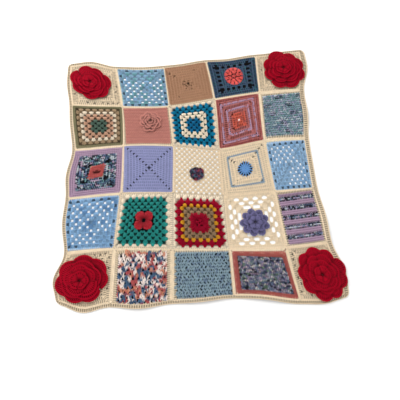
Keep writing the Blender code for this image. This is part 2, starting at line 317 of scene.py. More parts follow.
def addStrands(work, path, radius, colour):
    # Tubes along many paths at once: each ring is its path point plus radius times the cosine of the
    # angle sideways and the sine upwards. Both ends are closed. path is (tubes, steps, 3).
    tubes, steps = path.shape[:2]
    if not tubes:
        return
    sides = strand["sides"]
    along = unit(np.gradient(path, axis=1))
    side = unit(np.stack([along[..., 1], -along[..., 0], np.zeros((tubes, steps))], 2))
    up = np.cross(side, along)
    angle = 2 * np.pi * np.arange(sides) / sides
    ring = np.cos(angle)[:, None] * side[:, :, None] + np.sin(angle)[:, None] * up[:, :, None]
    points = path[:, :, None] + np.broadcast_to(radius, (tubes, steps))[..., None, None] * ring
    index = np.arange(tubes * steps * sides).reshape(tubes, steps, sides)
    near, far = index[:, :-1], index[:, 1:]
    walls = np.stack([near, far, np.roll(far, -1, 2), np.roll(near, -1, 2)], -1).reshape(-1, 4)
    caps = np.concatenate([index[:, 0], index[:, -1, ::-1]])
    hop = np.linalg.norm(np.diff(path, axis=1), axis=2)
    length = np.concatenate([np.zeros((tubes, 1)), np.cumsum(hop, 1)], 1)[..., None]
    begin, end = np.broadcast_arrays(length[:, :-1], length[:, 1:], np.arange(sides))[:2]
    round0 = np.broadcast_to(np.arange(sides) / sides, begin.shape)
    round1 = round0 + 1 / sides
    maps = np.stack([round0, begin, round0, end, round1, end, round1, begin], -1).reshape(-1, 8)
    colour = colour if colour.ndim == 3 else colour[:, None]
    colour = colour * (1 + strand["uneven"] * work["dice"].standard_normal((tubes, 1, 1)))
    colour = np.broadcast_to(colour[:, :, None], points.shape)
    addMesh(work, points.reshape(-1, 3), np.concatenate([walls, caps]),
            np.concatenate([maps, np.zeros((len(caps), 8))]), colour.reshape(-1, 3))


def insideAny(holes, x, y, margin=0.0):
    # True in any of the ellipses, each a middle and two radii that the margin widens: the distances
    # over the radii, squared and added, come to less than 1.
    found = np.zeros(np.shape(x), bool)
    for middleX, middleY, radiusX, radiusY in holes:
        found |= ((x - middleX) / (radiusX + margin)) ** 2 + ((y - middleY) / (radiusY + margin)) ** 2 < 1
    return found


def clipToEyes(work, foot, head):
    # Ends every stitch at the small holes that its line crosses: where the hole's middle, seen along the
    # stitch, is in its first half the foot moves past the hole, and otherwise the head stops short of it.
    # Returns which stitches are still long enough to keep.
    for x, y, radiusX, radiusY in work["eyes"]:
        run = head - foot
        length = np.linalg.norm(run, axis=1) + 1e-9
        way = run / length[:, None]
        share = np.clip(((np.array([x, y]) - foot) * way).sum(1) / length, 0, 1)
        nearest = foot + run * share[:, None]
        miss = (nearest - (x, y)) / (radiusX + strand["beside"], radiusY + strand["beside"])
        hit = np.hypot(miss[:, 0], miss[:, 1]) < 1
        reach = np.hypot(radiusX * way[:, 0], radiusY * way[:, 1]) + strand["short"]
        early, late = hit & (share < 0.5), hit & (share >= 0.5)
        foot = np.where(early[:, None], foot + way * (share * length + reach)[:, None], foot)
        head = np.where(late[:, None], foot + way * (share * length - reach)[:, None], head)
        gone = ((head - foot) * way).sum(1) < strand["least"]
        head = np.where(gone[:, None], foot, head)
    return foot, head, np.linalg.norm(head - foot, axis=1) > strand["shortest"]


def addPosts(work, foot, head, tint, girth=1.0, height=0.0, fade=0.8):
    # The upright of a stitch: two strands wound round each other, offset by the cosine of half a turn
    # sideways and its sine upwards, from the foot to the head, with a slight crown halfway. Unless the colour
    # comes from a dye field, it is painted darker at the foot by the fade, as shade, and 5% lighter at the
    # head, as a painted highlight.
    foot, head = np.asarray(foot, float), np.asarray(head, float)
    height = max(height or strand["height"], 0.2 + (strand["radius"] + strand["lift"]) * girth)
    share = np.linspace(0, 1, 3)
    if callable(tint):
        colour = tint(foot[:, None] + (head - foot)[:, None] * share[:, None])
    else:
        # painted shade at the foot, a slight painted highlight at the head
        colour = tintOf(tint, foot)[:, None] * np.linspace(fade, 1.05, 3)[:, None]
    foot, head, keep = clipToEyes(work, foot, head)
    keep &= ~insideAny(work["pits"], *((foot + head) / 2).T)
    foot, head, colour = foot[keep], head[keep], colour[keep]
    middle = foot[:, None] + (head - foot)[:, None] * share[:, None]
    across = unit(head - foot)[:, ::-1] * (1, -1)
    for start in (0, math.pi):
        angle = start + math.pi * share
        flat = middle + across[:, None] * (strand["spread"] * girth * np.cos(angle))[:, None]
        level = height + strand["lift"] * girth * np.sin(angle) + strand["crown"] * np.sin(math.pi * share)
        path = np.concatenate([flat, np.broadcast_to(level[:, None], (*flat.shape[:2], 1))], 2)
        addStrands(work, path, strand["radius"] * girth * np.array(strand["tips"]), colour)


def walkLine(line, pitch, closed):
    # Points every pitch along a line, and the way the line runs there: the length so far is looked up.
    line = np.concatenate([line, line[:1]]) if closed else line
    total = np.concatenate([[0], np.cumsum(np.linalg.norm(np.diff(line, axis=0), axis=1))])
    count = max(2, round(total[-1] / pitch))
    at = (np.arange(count) + 0.5) / count * total[-1]
    spot, ahead = [np.stack([np.interp(way, total, part) for part in line.T], 1) for way in (at, at + 0.5)]
    return spot, unit(ahead - spot), total[-1] / count


# A V on top of a stitch, from its back to its tip: along the line, sideways, up, and thickness
vee = {"along": (-0.6, 0.5), "side": (1.0, 0.2), "level": (-0.35, 0.25), "girth": (1.0, 0.85)}


def addChain(work, line, tint, pitch=6.6, width=1.7, height=3.4, radius=1.15, closed=True):
    # The row of small V shapes on top of a round: two strands each, from width either side at the back
    # of the V to its tip on the line, dipping a little where the next V covers them.
    spot, run, pitch = walkLine(line, pitch, closed)
    colour = tintOf(tint, spot[:, :2])
    x, y = spot[:, :2].T
    keep = ~(insideAny(work["pits"], x, y) | insideAny(work["eyes"], x, y, 0.6))
    spot, run, colour = spot[keep], run[keep], colour[keep]
    across = np.stack([run[:, 1], -run[:, 0]], 1)
    for side in (-1, 1):
        flat = spot[:, None, :2] + run[:, None, :2] * (np.array(vee["along"]) * pitch)[:, None]
        flat = flat + across[:, None] * (side * width * np.array(vee["side"]))[:, None]
        lift = height + np.array(vee["level"]) + (spot[:, 2:3] if spot.shape[1] == 3 else 0)
        path = np.concatenate([flat, np.broadcast_to(lift, flat.shape[:2])[..., None]], 2)
        addStrands(work, path, radius * np.array(vee["girth"]), colour)


def quarter(k):
    # The matrix that turns a row of x, y by k quarters clockwise.
    c, s = (1, 0, -1, 0)[k % 4], (0, 1, 0, -1)[k % 4]
    return np.array([[c, -s], [s, c]])


def roundFour(points):
    # The same points on all four sides of the square.
    return np.concatenate([points @ quarter(k) for k in range(4)])


def squareLine(reach, corner):
    # A square with round corners, from the middle of one side round and back to it.
    turn = np.linspace(0, math.pi / 2, 5)
    return roundFour(reach - corner + corner * np.stack([np.sin(turn), np.cos(turn)], 1))


def ringTurns(count):
    # Angles evenly round a circle.
    return np.arange(count) / count * 2 * math.pi


def ways(turn):
    # The cosine and sine of each angle, as a place one from the middle.
    return np.stack([np.cos(turn), np.sin(turn)], 1)


def rowOf(at, level):
    # Places side by side: x from the list, all at the level or each at its own.
    return np.stack([at, np.broadcast_to(level, len(at))], 1)


def threes(middles, spread):
    # Three places for each middle: the spread to its left, on it and to its right.
    return (middles[:, None] + np.array([-1, 0, 1]) * spread).ravel()


def sidePosts(work, foot, head, *more, **named):
    # The same posts on all four sides.
    addPosts(work, roundFour(foot), roundFour(head), *more, **named)


def addBand(work, kind, low, high, yarn, under):
    # Part of the ground, from low to high by the kind's measure, in the yarn's colour times under, which is
    # painted shade that shows between the stitches.
    work["bands"].append((kind, low, high, yarnColour(yarn), under))


def solidRound(work, inner, outer, yarn, width=7.0, girth=1.0, under=0.42, chain=True, drop=0.5, corner=4.0,
               tint=None):
    # A round of stitches side by side: heads evenly along the outer line, feet straight below them,
    # or, where there is no line below, as far from the inner line's corner as its hole is wide.
    side = outer - 0.3 * width
    count = max(2, round(2 * side / width))
    at = (np.arange(count) + 0.5) / count * 2 * side - side
    reach = max(0.3, inner - 1.2)
    tint = roundTint(work, yarn, tint, 4 * count)
    foot, head = rowOf(np.clip(at, -reach, reach), inner - drop), rowOf(at, outer - 1.0)
    sidePosts(work, foot, head, tint, girth, fade=0.9)
    if chain:
        line = squareLine(outer - 0.8, min(corner, outer * 0.4))
        addChain(work, line, tint, pitch=width, width=1.6 * girth)
    # The ground under this round is painted darker by under, as shade between the stitches.
    addBand(work, "ring", inner, outer, yarn, under)


def solidRounds(work, lines, yarn, width=7.0, **more):
    # Solid rounds between each line and the next, all in one yarn or each in its own.
    for k, inner in enumerate(lines[:-1]):
        solidRound(work, inner, lines[k + 1], yarn if isinstance(yarn, str) else yarn[k], width, **more)


def creamEdging(work, inner=85.0, under=0.3):
    # The joining round of short stitches along the four sides, which reach a little into the colour.
    solidRound(work, inner, half, "cream", 7.6, girth=0.82, under=under, drop=1.8)


def clusterRound(work, number, step, yarn, under=0.12, girth=1.28, spread=(2.5, 6.0), sink=2.6, outer=None,
                 tint=None, chain=False, band=True):
    # A round of fans of three: the round lies number steps from the middle, one step deep, and has
    # number fans on each side, two steps apart, so that fans and holes take turns. The feet sink into
    # the gap between the fans of the round before, and the heads spread into a dome.
    inner = (number - 0.5) * step
    outer = outer or inner + step
    middles = (np.arange(number) - (number - 1) / 2) * 2 * step
    scale = step / 12
    foot = rowOf(threes(middles, spread[0] * scale), inner - sink)
    head = rowOf(threes(middles, spread[1] * scale), outer - 1.6 + np.tile([0.0, 1.3, 0.0], number))
    tint = roundTint(work, yarn, tint, 12 * number)
    sidePosts(work, foot, head, tint, girth * scale, 2.7, 0.6)
    if chain:
        addChain(work, squareLine(outer - 0.6, min(5, outer * 0.4)), tint, step / 2, 1.3, 3.0, 1.0)
    if band:
        # The ground under the fans is painted darker by under, as shade in the gaps.
        addBand(work, "ring", inner, outer, yarn, under)


def stitchRows(work, low, high, yarn, reach=84.0, width=6.8, girth=1.0, under=0.42, slant=0.0, chain=True,
               slip=0.0, tint=None):
    # One straight row of stitches from x = -reach to reach: feet at low and heads at high, all leaning.
    count = round(2 * reach / width)
    at = (np.arange(count) + 0.5) / count * 2 * reach - reach + slip
    at = at[abs(at) < reach - 1]
    foot, head = rowOf(at - slant / 2, low - 0.6), rowOf(at + slant / 2, high - 0.8)
    addPosts(work, foot, head, tint or yarn, girth, fade=0.9)
    if chain:
        line = np.array([[-reach, high - 0.7], [reach, high - 0.7]])
        addChain(work, line, tint or yarn, pitch=2 * reach / count, width=1.6 * girth, closed=False)
    # The ground under this row is painted darker by under, as shade between the stitches.
    addBand(work, "row", low, high, yarn, under)


# The ground sheet under the stitches, coloured as painted shade: underside and top over the floor in mm, and
# the painted shadow at shade spots and at small holes
ground = {"low": 0.3, "high": 1.5, "inShade": 0.3, "atEye": 0.12, "beside": 1.5, "rowsEnd": 85.0}


def paintGround(work, spots):
    # The colour of the ground sheet, all of it painted shade: the band a spot lies in, times the shade
    # painted under the stitches, and painted nearly black as shadow at the shade spots and the small holes.
    # Outside every band: cream at 0.6, as painted shade.
    colour = np.tile(yarnColour("cream") * 0.6, (len(spots), 1))
    x, y = spots.T
    ring = np.maximum(abs(x), abs(y))
    measures = {"ring": ring, "row": y, "disc": np.hypot(x, y)}
    for kind, low, high, tint, under in work["bands"]:
        inBand = (measures[kind] >= low) & (measures[kind] < high)
        colour[inBand & ((kind != "row") | (ring < ground["rowsEnd"]))] = tint * under
    for spot in work["shade"]:
        colour[insideAny([spot], x, y)] *= ground["inShade"]
    colour[insideAny(work["eyes"], x, y, ground["beside"])] *= ground["atEye"]
    return colour


def sheetFaces(kept):
    # A flat slab of grid cells with some left open: a top and a bottom quad for each kept cell, and a
    # wall on each grid line that has a kept cell on one side alone.
    rows, columns = kept.shape
    index = np.arange((rows + 1) * (columns + 1)).reshape(rows + 1, columns + 1)
    under = index + index.size
    cell = np.stack([index[:-1, :-1], index[:-1, 1:], index[1:, 1:], index[1:, :-1]], -1)[kept]
    faces = [cell, cell[:, ::-1] + index.size]
    ring = np.pad(kept, 1)
    wallX = np.stack([under[:-1], under[1:], index[1:], index[:-1]], -1)
    wallY = np.stack([under[:, 1:], under[:, :-1], index[:, :-1], index[:, 1:]], -1)
    walls = ((wallX, ring[1:-1, :-1], ring[1:-1, 1:]), (wallY, ring[:-1, 1:-1], ring[1:, 1:-1]))
    for wall, before, after in walls:
        faces += [wall[before & ~after], wall[after & ~before][:, ::-1]]
    return np.concatenate(faces)


triangles = {}


def fillMesh(name, points, faces, colours, maps, slot, smooth=True):
    # Writes whole arrays into a mesh object: points in metres, quads, a colour a point, two map
    # values a corner. Points that no face uses are dropped first.
    used = np.unique(faces)
    points, colours = points[used], colours[used]
    faces = np.searchsorted(used, faces)
    mesh = bpy.data.meshes.new(name)
    mesh.vertices.add(len(points))
    mesh.vertices.foreach_set("co", points.astype(np.float32).ravel())
    mesh.loops.add(faces.size)
    mesh.loops.foreach_set("vertex_index", faces.astype(np.int32).ravel())
    mesh.polygons.add(len(faces))
    mesh.polygons.foreach_set("loop_start", np.arange(0, faces.size, 4, dtype=np.int32))
    mesh.polygons.foreach_set("use_smooth", np.full(len(faces), smooth))
    mesh.update(calc_edges=True)
    layer = mesh.color_attributes.new("yarnColour", "FLOAT_COLOR", "POINT")
    layer.data.foreach_set("color", np.concatenate([colours, np.ones((len(colours), 1))], 1).ravel())
    mesh.uv_layers.new(name="yarnMap").data.foreach_set("uv", maps.astype(np.float32).ravel())
    mesh.materials.append(materials[slot])
    piece = addObject(name, mesh)
    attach(piece, "root")
    triangles[name] = 2 * len(faces)
    return piece


def stitchPiece(name, work, place, slot):
    # All stitches of one square or flower, drawn flat, then carried to where it lies.
    parts = ("points", "faces", "colours", "maps")
    points, faces, colours, maps = [np.concatenate(work[part]) for part in parts]
    return fillMesh(name, place(points), faces, colours, maps, slot)


def groundPiece(name, work, place, slot, linesX, linesY, openAt):
    # The closed sheet under the stitches, coloured as painted shade, on the given grid lines, open where a
    # cell's middle says so.
    x, y = np.meshgrid(linesX, linesY)
    midX, midY = (x[:-1, :-1] + x[1:, 1:]) / 2, (y[:-1, :-1] + y[1:, 1:]) / 2
    faces = sheetFaces(~openAt(work, midX, midY) if openAt else np.ones(midX.shape, bool))
    spots = np.stack([x.ravel(), y.ravel()], 1)
    points = [place(np.insert(spots, 2, ground[side], 1)) for side in ("high", "low")]
    colours = np.tile(paintGround(work, spots), (2, 1))
    maps = np.tile(spots, (2, 1))[faces].reshape(-1, 8)
    return fillMesh(name, np.concatenate(points), faces, colours, maps, slot, smooth=False)


# The fine look of spun yarn, shared by every yarn
yarnLook = {
    "turns": 0.30, "plies": 2.0, "fuzzScale": 1500.0, "heatherScale": 420.0, "wearScale": 9.0,
    "bump": 0.5, "bumpDepth": 0.0004, "sheenRoughness": 0.5, "specular": 0.08,
}


def addNode(tree, kind, inputs=None, **settings):
    # A shader node with its settings; each input is a value or the socket that feeds it.
    node = tree.nodes.new("ShaderNode" + kind)
    for name, value in settings.items():
        setattr(node, name, value)
    return feedNode(tree, node, inputs or {})


def feedNode(tree, node, inputs):
    # Sets or links the named inputs of a node, and gives the node back.
    for name, value in inputs.items():
        if isinstance(value, bpy.types.NodeSocket):
            tree.links.new(value, node.inputs[name])
        else:
            node.inputs[name].default_value = value
    return node


def mathNode(tree, operation, *values):
    return addNode(tree, "Math", dict(enumerate(values)), operation=operation).outputs[0]


def newGroup(name, numbers, colour, output, kind):
    # A shader group with number inputs, maybe a colour input, and one output: group, given, made.
    group = bpy.data.node_groups.new(name, "ShaderNodeTree")
    if colour:
        group.interface.new_socket(colour, in_out="INPUT", socket_type="NodeSocketColor")
    for label, value in numbers.items():
        socket = group.interface.new_socket(label, in_out="INPUT", socket_type="NodeSocketFloat")
        socket.default_value = value
    group.interface.new_socket(output, in_out="OUTPUT", socket_type=kind)
    return group, group.nodes.new("NodeGroupInput").outputs, group.nodes.new("NodeGroupOutput")


def makePlyGroup():
    # Height of the twisted plies: half a sine of (turns times length + plies times way round), plus fuzz.
    group, given, made = newGroup("yarnPly", {"Turns": 0.3, "Plies": 2.0, "Fuzz": 0.3}, None, "Height",
                                  "NodeSocketFloat")
    mapped = addNode(group, "UVMap", uv_map="yarnMap").outputs[0]
    parts = addNode(group, "SeparateXYZ", {0: mapped}).outputs
    turned = mathNode(group, "MULTIPLY", parts["Y"], given["Turns"])
    wound = mathNode(group, "MULTIPLY", parts["X"], given["Plies"])
    phase = mathNode(group, "MULTIPLY", mathNode(group, "ADD", turned, wound), 2 * math.pi)
    wave = mathNode(group, "SINE", phase)
    spot = addNode(group, "TexCoord").outputs["Object"]
    fuzz = addNode(group, "TexNoise", {"Vector": spot, "Scale": yarnLook["fuzzScale"], "Detail": 3})
    hair = mathNode(group, "MULTIPLY", fuzz.outputs[0], given["Fuzz"])
    feedNode(group, made, {"Height": mathNode(group, "ADD", mathNode(group, "MULTIPLY", wave, 0.5), hair)})
    return group


def makeHeatherGroup():
    # Colour with the yarn's unevenness: fine flecks from one noise, slow wear from another, both as a
    # factor round 1 on the given colour.
    group, given, made = newGroup("yarnHeather", {"Flecks": 0.2, "Wear": 0.1}, "Colour", "Colour",
                                  "NodeSocketColor")
    spot = addNode(group, "TexCoord").outputs["Object"]
    factors = []
    for scale, amount in (("heatherScale", "Flecks"), ("wearScale", "Wear")):
        noise = addNode(group, "TexNoise", {"Vector": spot, "Scale": yarnLook[scale], "Detail": 4}).outputs[0]
        swing = mathNode(group, "MULTIPLY", mathNode(group, "SUBTRACT", noise, 0.5), given[amount])
        factors.append(mathNode(group, "ADD", swing, 1.0))
    gain = mathNode(group, "MULTIPLY", *factors)
    scaled = addNode(group, "VectorMath", {0: given["Colour"], "Scale": gain}, operation="SCALE")
    feedNode(group, made, {"Colour": scaled.outputs[0]})
    return group


plyGroup, heatherGroup = makePlyGroup(), makeHeatherGroup()

# Finish of each yarn: roughness, sheen of the loose fibres, flecks, slow wear, fuzz
finishes = {
    "cream_yarn": (0.88, 0.04, 0.16, 0.14, 0.25), "sky_yarn": (0.82, 0.04, 0.26, 0.12, 0.20),
    "tan_yarn": (0.90, 0.04, 0.20, 0.10, 0.30), "slate_yarn": (0.86, 0.04, 0.24, 0.14, 0.25),
    "olive_yarn": (0.92, 0.04, 0.30, 0.14, 0.35), "pink_yarn": (0.84, 0.04, 0.14, 0.08, 0.20),
    "teal_yarn": (0.80, 0.04, 0.18, 0.10, 0.20), "brick_yarn": (0.88, 0.04, 0.22, 0.12, 0.30),
    "mottled_yarn": (0.90, 0.04, 0.36, 0.14, 0.35), "lilac_yarn": (0.84, 0.04, 0.16, 0.10, 0.22),
    "green_yarn": (0.84, 0.04, 0.18, 0.10, 0.22), "crimson_yarn": (0.80, 0.01, 0.16, 0.10, 0.20),
    "speckled_yarn": (0.90, 0.04, 0.30, 0.12, 0.35), "plum_yarn": (0.88, 0.04, 0.30, 0.12, 0.30),
    "violet_yarn": (0.84, 0.04, 0.18, 0.10, 0.22),
}


def makeYarn(slot):
    # A rough fibre surface: colour from the piece's own attribute, ply and fuzz as a bump.
    roughness, sheen, flecks, wear, fuzz = finishes[slot]
    made = bpy.data.materials.new(slot.replace("_", " "))
    made.use_nodes = True
    tree = made.node_tree
    tint = addNode(tree, "VertexColor", layer_name="yarnColour").outputs["Color"]
    heather = addNode(tree, "Group", node_tree=heatherGroup)
    feedNode(tree, heather, {"Flecks": flecks, "Wear": wear, "Colour": tint})
    ply = addNode(tree, "Group", node_tree=plyGroup)
    feedNode(tree, ply, {"Turns": yarnLook["turns"], "Plies": yarnLook["plies"], "Fuzz": fuzz})
    bump = addNode(tree, "Bump", {"Strength": yarnLook["bump"], "Distance": yarnLook["bumpDepth"],
                                  "Height": ply.outputs["Height"]})
    feedNode(tree, tree.nodes["Principled BSDF"], {
        "Base Color": heather.outputs["Colour"], "Normal": bump.outputs["Normal"], "Roughness": roughness,
        "Sheen Weight": sheen, "Sheen Roughness": yarnLook["sheenRoughness"],
        "Specular IOR Level": yarnLook["specular"],
    })
    return made


materials = {slot: makeYarn(slot) for slot in finishes}
print("yarns and shader groups are made")


def addEyes(work, radius, spots):
    # Small round holes at the given places.
    work["eyes"] += [(x, y, radius, radius) for x, y in spots]


diagonals = {"backRight": (1, 1), "frontRight": (1, -1), "backLeft": (-1, 1), "frontLeft": (-1, -1)}


def cornerEyes(work, radius, reaches, *corners):
    # The holes where the rounds turn their corners, along the diagonals named, or along all four.
    for reach in reaches:
        addEyes(work, radius, [np.array(diagonals[corner]) * reach for corner in corners or diagonals])


def linesBeside(middles, wide, *ends):
    # Grid lines half the width either side of each middle, and the outermost ones.
    ends = np.array(ends)
    return np.sort(np.concatenate([middles - wide / 2, middles + wide / 2, -ends, ends]))


# The three sky squares: granny fans with open cells between them. Where the cloth is pulled together, in
# the ellipses named shut (middle and reach), the gaps are closed.
sky = {
    # dark: the share of outermost lattice points that get a small hole over painted shadow; darkEye is that
    # hole's radius, darkShade the painted shadow's
    "step": 13.2, "rounds": 6, "cell": 8.2, "dark": 0.75, "darkEye": 1.5, "darkShade": 6.15,
    "12": dict(yarn="slateSky", tints=("seaTint", "sky"),
               shut=((0, 66, 90, 30), (6, 0, 30, 16), (-34, -60, 20, 8))),
    "35": dict(yarn="skyPale", tints=("sky",),
               shut=((-52, -36, 40, 46), (62, 46, 26, 44), (-12, -2, 44, 13))),
    "41": dict(yarn="sky", tints=("skyDeep",),
               shut=((46, -50, 36, 20), (8, -2, 14, 26), (-40, -26, 16, 8), (-28, 40, 8, 16),
                     (62, 16, 10, 14), (-30, -66, 8, 8))),
}
skyLines = linesBeside(np.arange(-6, 7) * sky["step"], sky["cell"], 90)


def skySquare(work):
    # Fans in rounds, and at most of the outermost lattice points a small hole over a spot of painted shadow.
    own, step = sky[work["number"]], sky["step"]
    last = sky["rounds"]
    for a in range(-last, last + 1):
        for b in range(-last, last + 1):
            if (a + b) % 2 == 0 and max(abs(a), abs(b)) == last and work["dice"].random() < sky["dark"]:
                addEyes(work, sky["darkEye"], [(a * step, b * step)])
                work["shade"].append((a * step, b * step, sky["darkShade"], sky["darkShade"]))
    for number in range(1, last + 1):
        clusterRound(work, number, step, own["yarn"], 0.55, 1.04, chain=True,
                     tint=((own["yarn"],) * 3 + own["tints"], 3))
    creamEdging(work)
    addBand(work, "ring", 0, step / 2, own["yarn"], 0.5)


def skyHoles(work, x, y):
    # Open where a cell's middle is an even lattice point of rounds 1 to 5, outside the shut places.
    a, b = np.round(x / sky["step"]), np.round(y / sky["step"])
    onPoint = (abs(x - a * sky["step"]) < 0.1) & (abs(y - b * sky["step"]) < 0.1)
    ring = np.maximum(abs(a), abs(b))
    inRounds = (ring >= 1) & (ring < sky["rounds"])
    return onPoint & ((a + b) % 2 == 0) & inRounds & ~insideAny(sky[work["number"]]["shut"], x, y)


def pointsRound(work, number, step, yarn, reach):
    # The coloured points between the cream fans of the last round: three short stitches leaning together.
    inner = (number - 0.5) * step
    middles = (np.arange(number + 1) - number / 2) * 2 * step
    foot, head = rowOf(threes(middles, 4.4), inner - 1.5), rowOf(threes(middles, 0.8), inner + reach)
    inside = abs(foot[:, 0]) < inner
    sidePosts(work, foot[inside], head[inside], yarn, 1.2, 2.9, 1.0)


def fanEdge(work, number, step, yarn, reach=7.0, rim=4.0, girth=1.45, spread=(2.0, 6.6), sink=-2.0,
            outer=87.5):
    # The last round of a granny square: cream fans between coloured points, and a narrow cream round.
    edge = (number - 0.5) * step
    pointsRound(work, number, step, yarn, reach)
    addBand(work, "ring", edge, half + 1, "fanCream", 0.6)
    addBand(work, "ring", edge, edge + rim, yarn, 0.35)
    clusterRound(work, number, step, "fanCream", 0, girth, spread, sink, outer, band=False)
    solidRound(work, outer - 1.0, half, "fanCream", 6.4, girth=0.8, under=0.6, chain=False)


def fanSquare(work, spec, under=0.12):
    # Granny fans in rounds of the given colours, and the cream edge with points of the last colour.
    order, step = spec["order"], spec["step"]
    for number, yarn in enumerate(order, 1):
        full = {"girth": 1.6, "spread": (2.6, 7.2)} if yarn == "fanCream" else {}
        clusterRound(work, number, step, yarn, under, **full)
    fanEdge(work, len(order) + 1, step, order[-1])


teal = {"step": 11.5, "order": ("tealDeep", "tealDeep", "fanCream", "fanCream", "teal", "teal")}


def tealSquare(work):
    # the middle painted nearly black, as shadow in the centre hole
    addBand(work, "ring", 0, 6, "tealDeep", 0.1)
    fanSquare(work, teal)
    # the ground between the cream fans painted dark jade, as shade
    addBand(work, "ring", 2.5 * teal["step"], 4.5 * teal["step"], "jade", 0.25)  # between the cream fans


green = {
    "step": 11.6, "order": ("cherry",) + ("jade",) * 5, "lobe": 22.5, "bulge": 11,
    "post": (1.6, 5.4, 0.4),  # girth, height, how much of it is lost at the ends
}


def greenSquare(work):
    # Fans round a raised middle of four lobes, whose stitches reach out by a cosine across the lobe.
    work["eyes"].append((0, 0, 2.4, 5.5))
    addEyes(work, 4.0, ((0, 30), (0, -30), (30, 0), (-30, 0)))
    fanSquare(work, green, under=0.1)
    across = np.linspace(-0.6, 0.6, 7)
    reach = green["lobe"] + green["bulge"] * np.cos(across * 2.1)
    for k in range(4):
        way = ways(math.pi / 4 + k * math.pi / 2 + across)
        rim = reach[:, None] * way
        addPosts(work, 7 * way, rim, "cherry", *green["post"])
        addChain(work, rim, "cherry", 7.4, 2.2, 7.0, 1.5, closed=False)
    # the ground under the raised lobes painted nearly black, as shade
    addBand(work, "disc", 0, 36, "ink", 0.25)


crimson = {"step": 12.1, "lobe": 30, "bulge": 11, "notch": 1.5, "height": 4.4, "girth": 1.5}


def crimsonSquare(work):
    # Fans of each colour, and in the middle stitches whose reach follows the sine of twice their angle.
    step = crimson["step"]
    # the middle painted dark, as shadow in the centre hole
    addBand(work, "ring", 0, 7, "crimson", 0.2)
    addEyes(work, 1.8, 9 * ways(0.4 + ringTurns(4)))
    for number, yarn in enumerate(("crimson", "crimson", "moth", "moth"), 1):
        clusterRound(work, number, step, yarn, 0.28 if yarn == "moth" else 0.15)
    clusterRound(work, 5, step, "gold", 0.12, 1.7, (3.4, 5.2), 2.0)
    addBand(work, "ring", 4.5 * step, 5.5 * step, "crimson", 0.35)
    clusterRound(work, 6, step, "crimson", 0.5, 1.7, (3.4, 8.0), 7.0)
    fanEdge(work, 7, step, "crimson", 6.0, 0.0, 1.3, (1.6, 5.6), -3.0, 88.0)
    turn = ringTurns(28)
    reach = crimson["lobe"] + crimson["bulge"] * abs(np.sin(turn * 2)) + crimson["notch"] * np.cos(turn * 14)
    way, short = ways(turn), ways(turn[::4])
    addPosts(work, 3 * short, 13 * short, "crimson", crimson["girth"], crimson["height"])
    addPosts(work, 14 * way, reach[:, None] * way, "crimson", crimson["girth"], crimson["height"], 0.6)


olive = {"step": 11.5, "order": ("greyGreen", "greyGreen", "dustyPink", "dustyPink", "fanCream", "taupe")}


def oliveSquare(work):
    for number, yarn in enumerate(olive["order"], 1):
        clusterRound(work, number, olive["step"], yarn)
    addBand(work, "ring", 54, 66, "taupe", 0.45)
    # the middle painted nearly black, as shadow in the centre hole
    addBand(work, "ring", 0, 6, "greyGreen", 0.1)
    solidRounds(work, (77.0, 81.5, 86.0), "olive", 6.4, under=0.5)
    creamEdging(work, 86.0)


# Solid squares worked in rounds: the lines between the rounds, the yarns and the small holes
tan = {
    "lines": 4.0 + 11.5 * np.arange(8),
    "dots": ((0, 0, 3.4), (-13, 11, 2.8), (4, 12, 2.0), (11, 13, 2.2), (-23, 0, 2.2), (-14, -1, 2.2),
             (-10, -9, 2.2), (-6, -15, 2.2), (3, -9, 2.0), (10, -12, 2.4), (15, -3, 2.2), (-12, -23, 2.0),
             (0, -25, 2.0), (9, -25, 2.2), (-69, 55, 3.4), (-50, 42, 3.6), (-46, -52, 2.2), (34, 56, 2.0)),
}


def tanSquare(work):
    work["eyes"] += [(x, y, radius, radius) for x, y, radius in tan["dots"]]
    # the middle painted dark, as shadow in the centre hole
    addBand(work, "ring", 0, 4, "tan", 0.3)
    solidRounds(work, tan["lines"], "tan", 7.3, girth=1.02, under=0.8, drop=1.6)
    creamEdging(work)


slate = {
    "yarns": ("slateTeal", "slateTeal", "tealGrey", "slateDeep", "slateTeal"),
    "eyes": ((67, 57, 4.0), (57, 68, 4.0), (51, 51, 5.5)),  # on each diagonal
    "bars": (-41, -20.5, 0, 20.5, 41),
    "petals": ((6, 9.5, 20.0), (12, 20.5, 31.0)),  # how many, from where and to where
    "stretch": (1.1, 1.42),
    "shift": (0, 3),
}


def slateSquare(work):
    # Dark blue rounds with a round of holes, and in the middle two rings of coral petals of three stitches.
    for x, y in diagonals.values():
        work["eyes"] += [(x * atX, y * atY, radius, radius) for atX, atY, radius in slate["eyes"]]
    dyed = dyeField(work, slate["yarns"], 5.0)
    work["pits"].append((0, 3, 30, 38))  # hidden under the petals
    for lines in ((28, 38, 47.5), (62.5, 73.5, 85)):
        solidRounds(work, lines, "slateTeal", 6.8, girth=0.92, under=0.15, tint=dyed, drop=0.6)
    # the ground of the round of holes painted nearly black, as shadow
    addBand(work, "ring", 47.5, 62.5, "ink", 0.12)
    bars = (np.array(slate["bars"])[:, None] + (-2.4, 2.4)).ravel()
    sidePosts(work, rowOf(bars, 46.5), rowOf(bars, 63.0), dyed, 0.95)
    creamEdging(work)
    work["pits"].clear()
    for count, near, far in slate["petals"]:
        wide = 2 * math.pi / count
        middles = (np.arange(count) + 0.25) * wide
        foot, head = [ways(threes(middles, wide * share)) * slate["stretch"] * reach + slate["shift"]
                      for share, reach in ((0.16, near), (0.31, far))]
        addPosts(work, foot, head, "coral", 1.3, 3.5, 0.9)
    way = ways(ringTurns(5))
    addPosts(work, way + slate["shift"], 8 * way + slate["shift"], "coral", 1.2, 3.5, 0.9)
    # the ground under the coral petals painted dark, as shade
    addBand(work, "disc", 0, 38, "ink", 0.4)


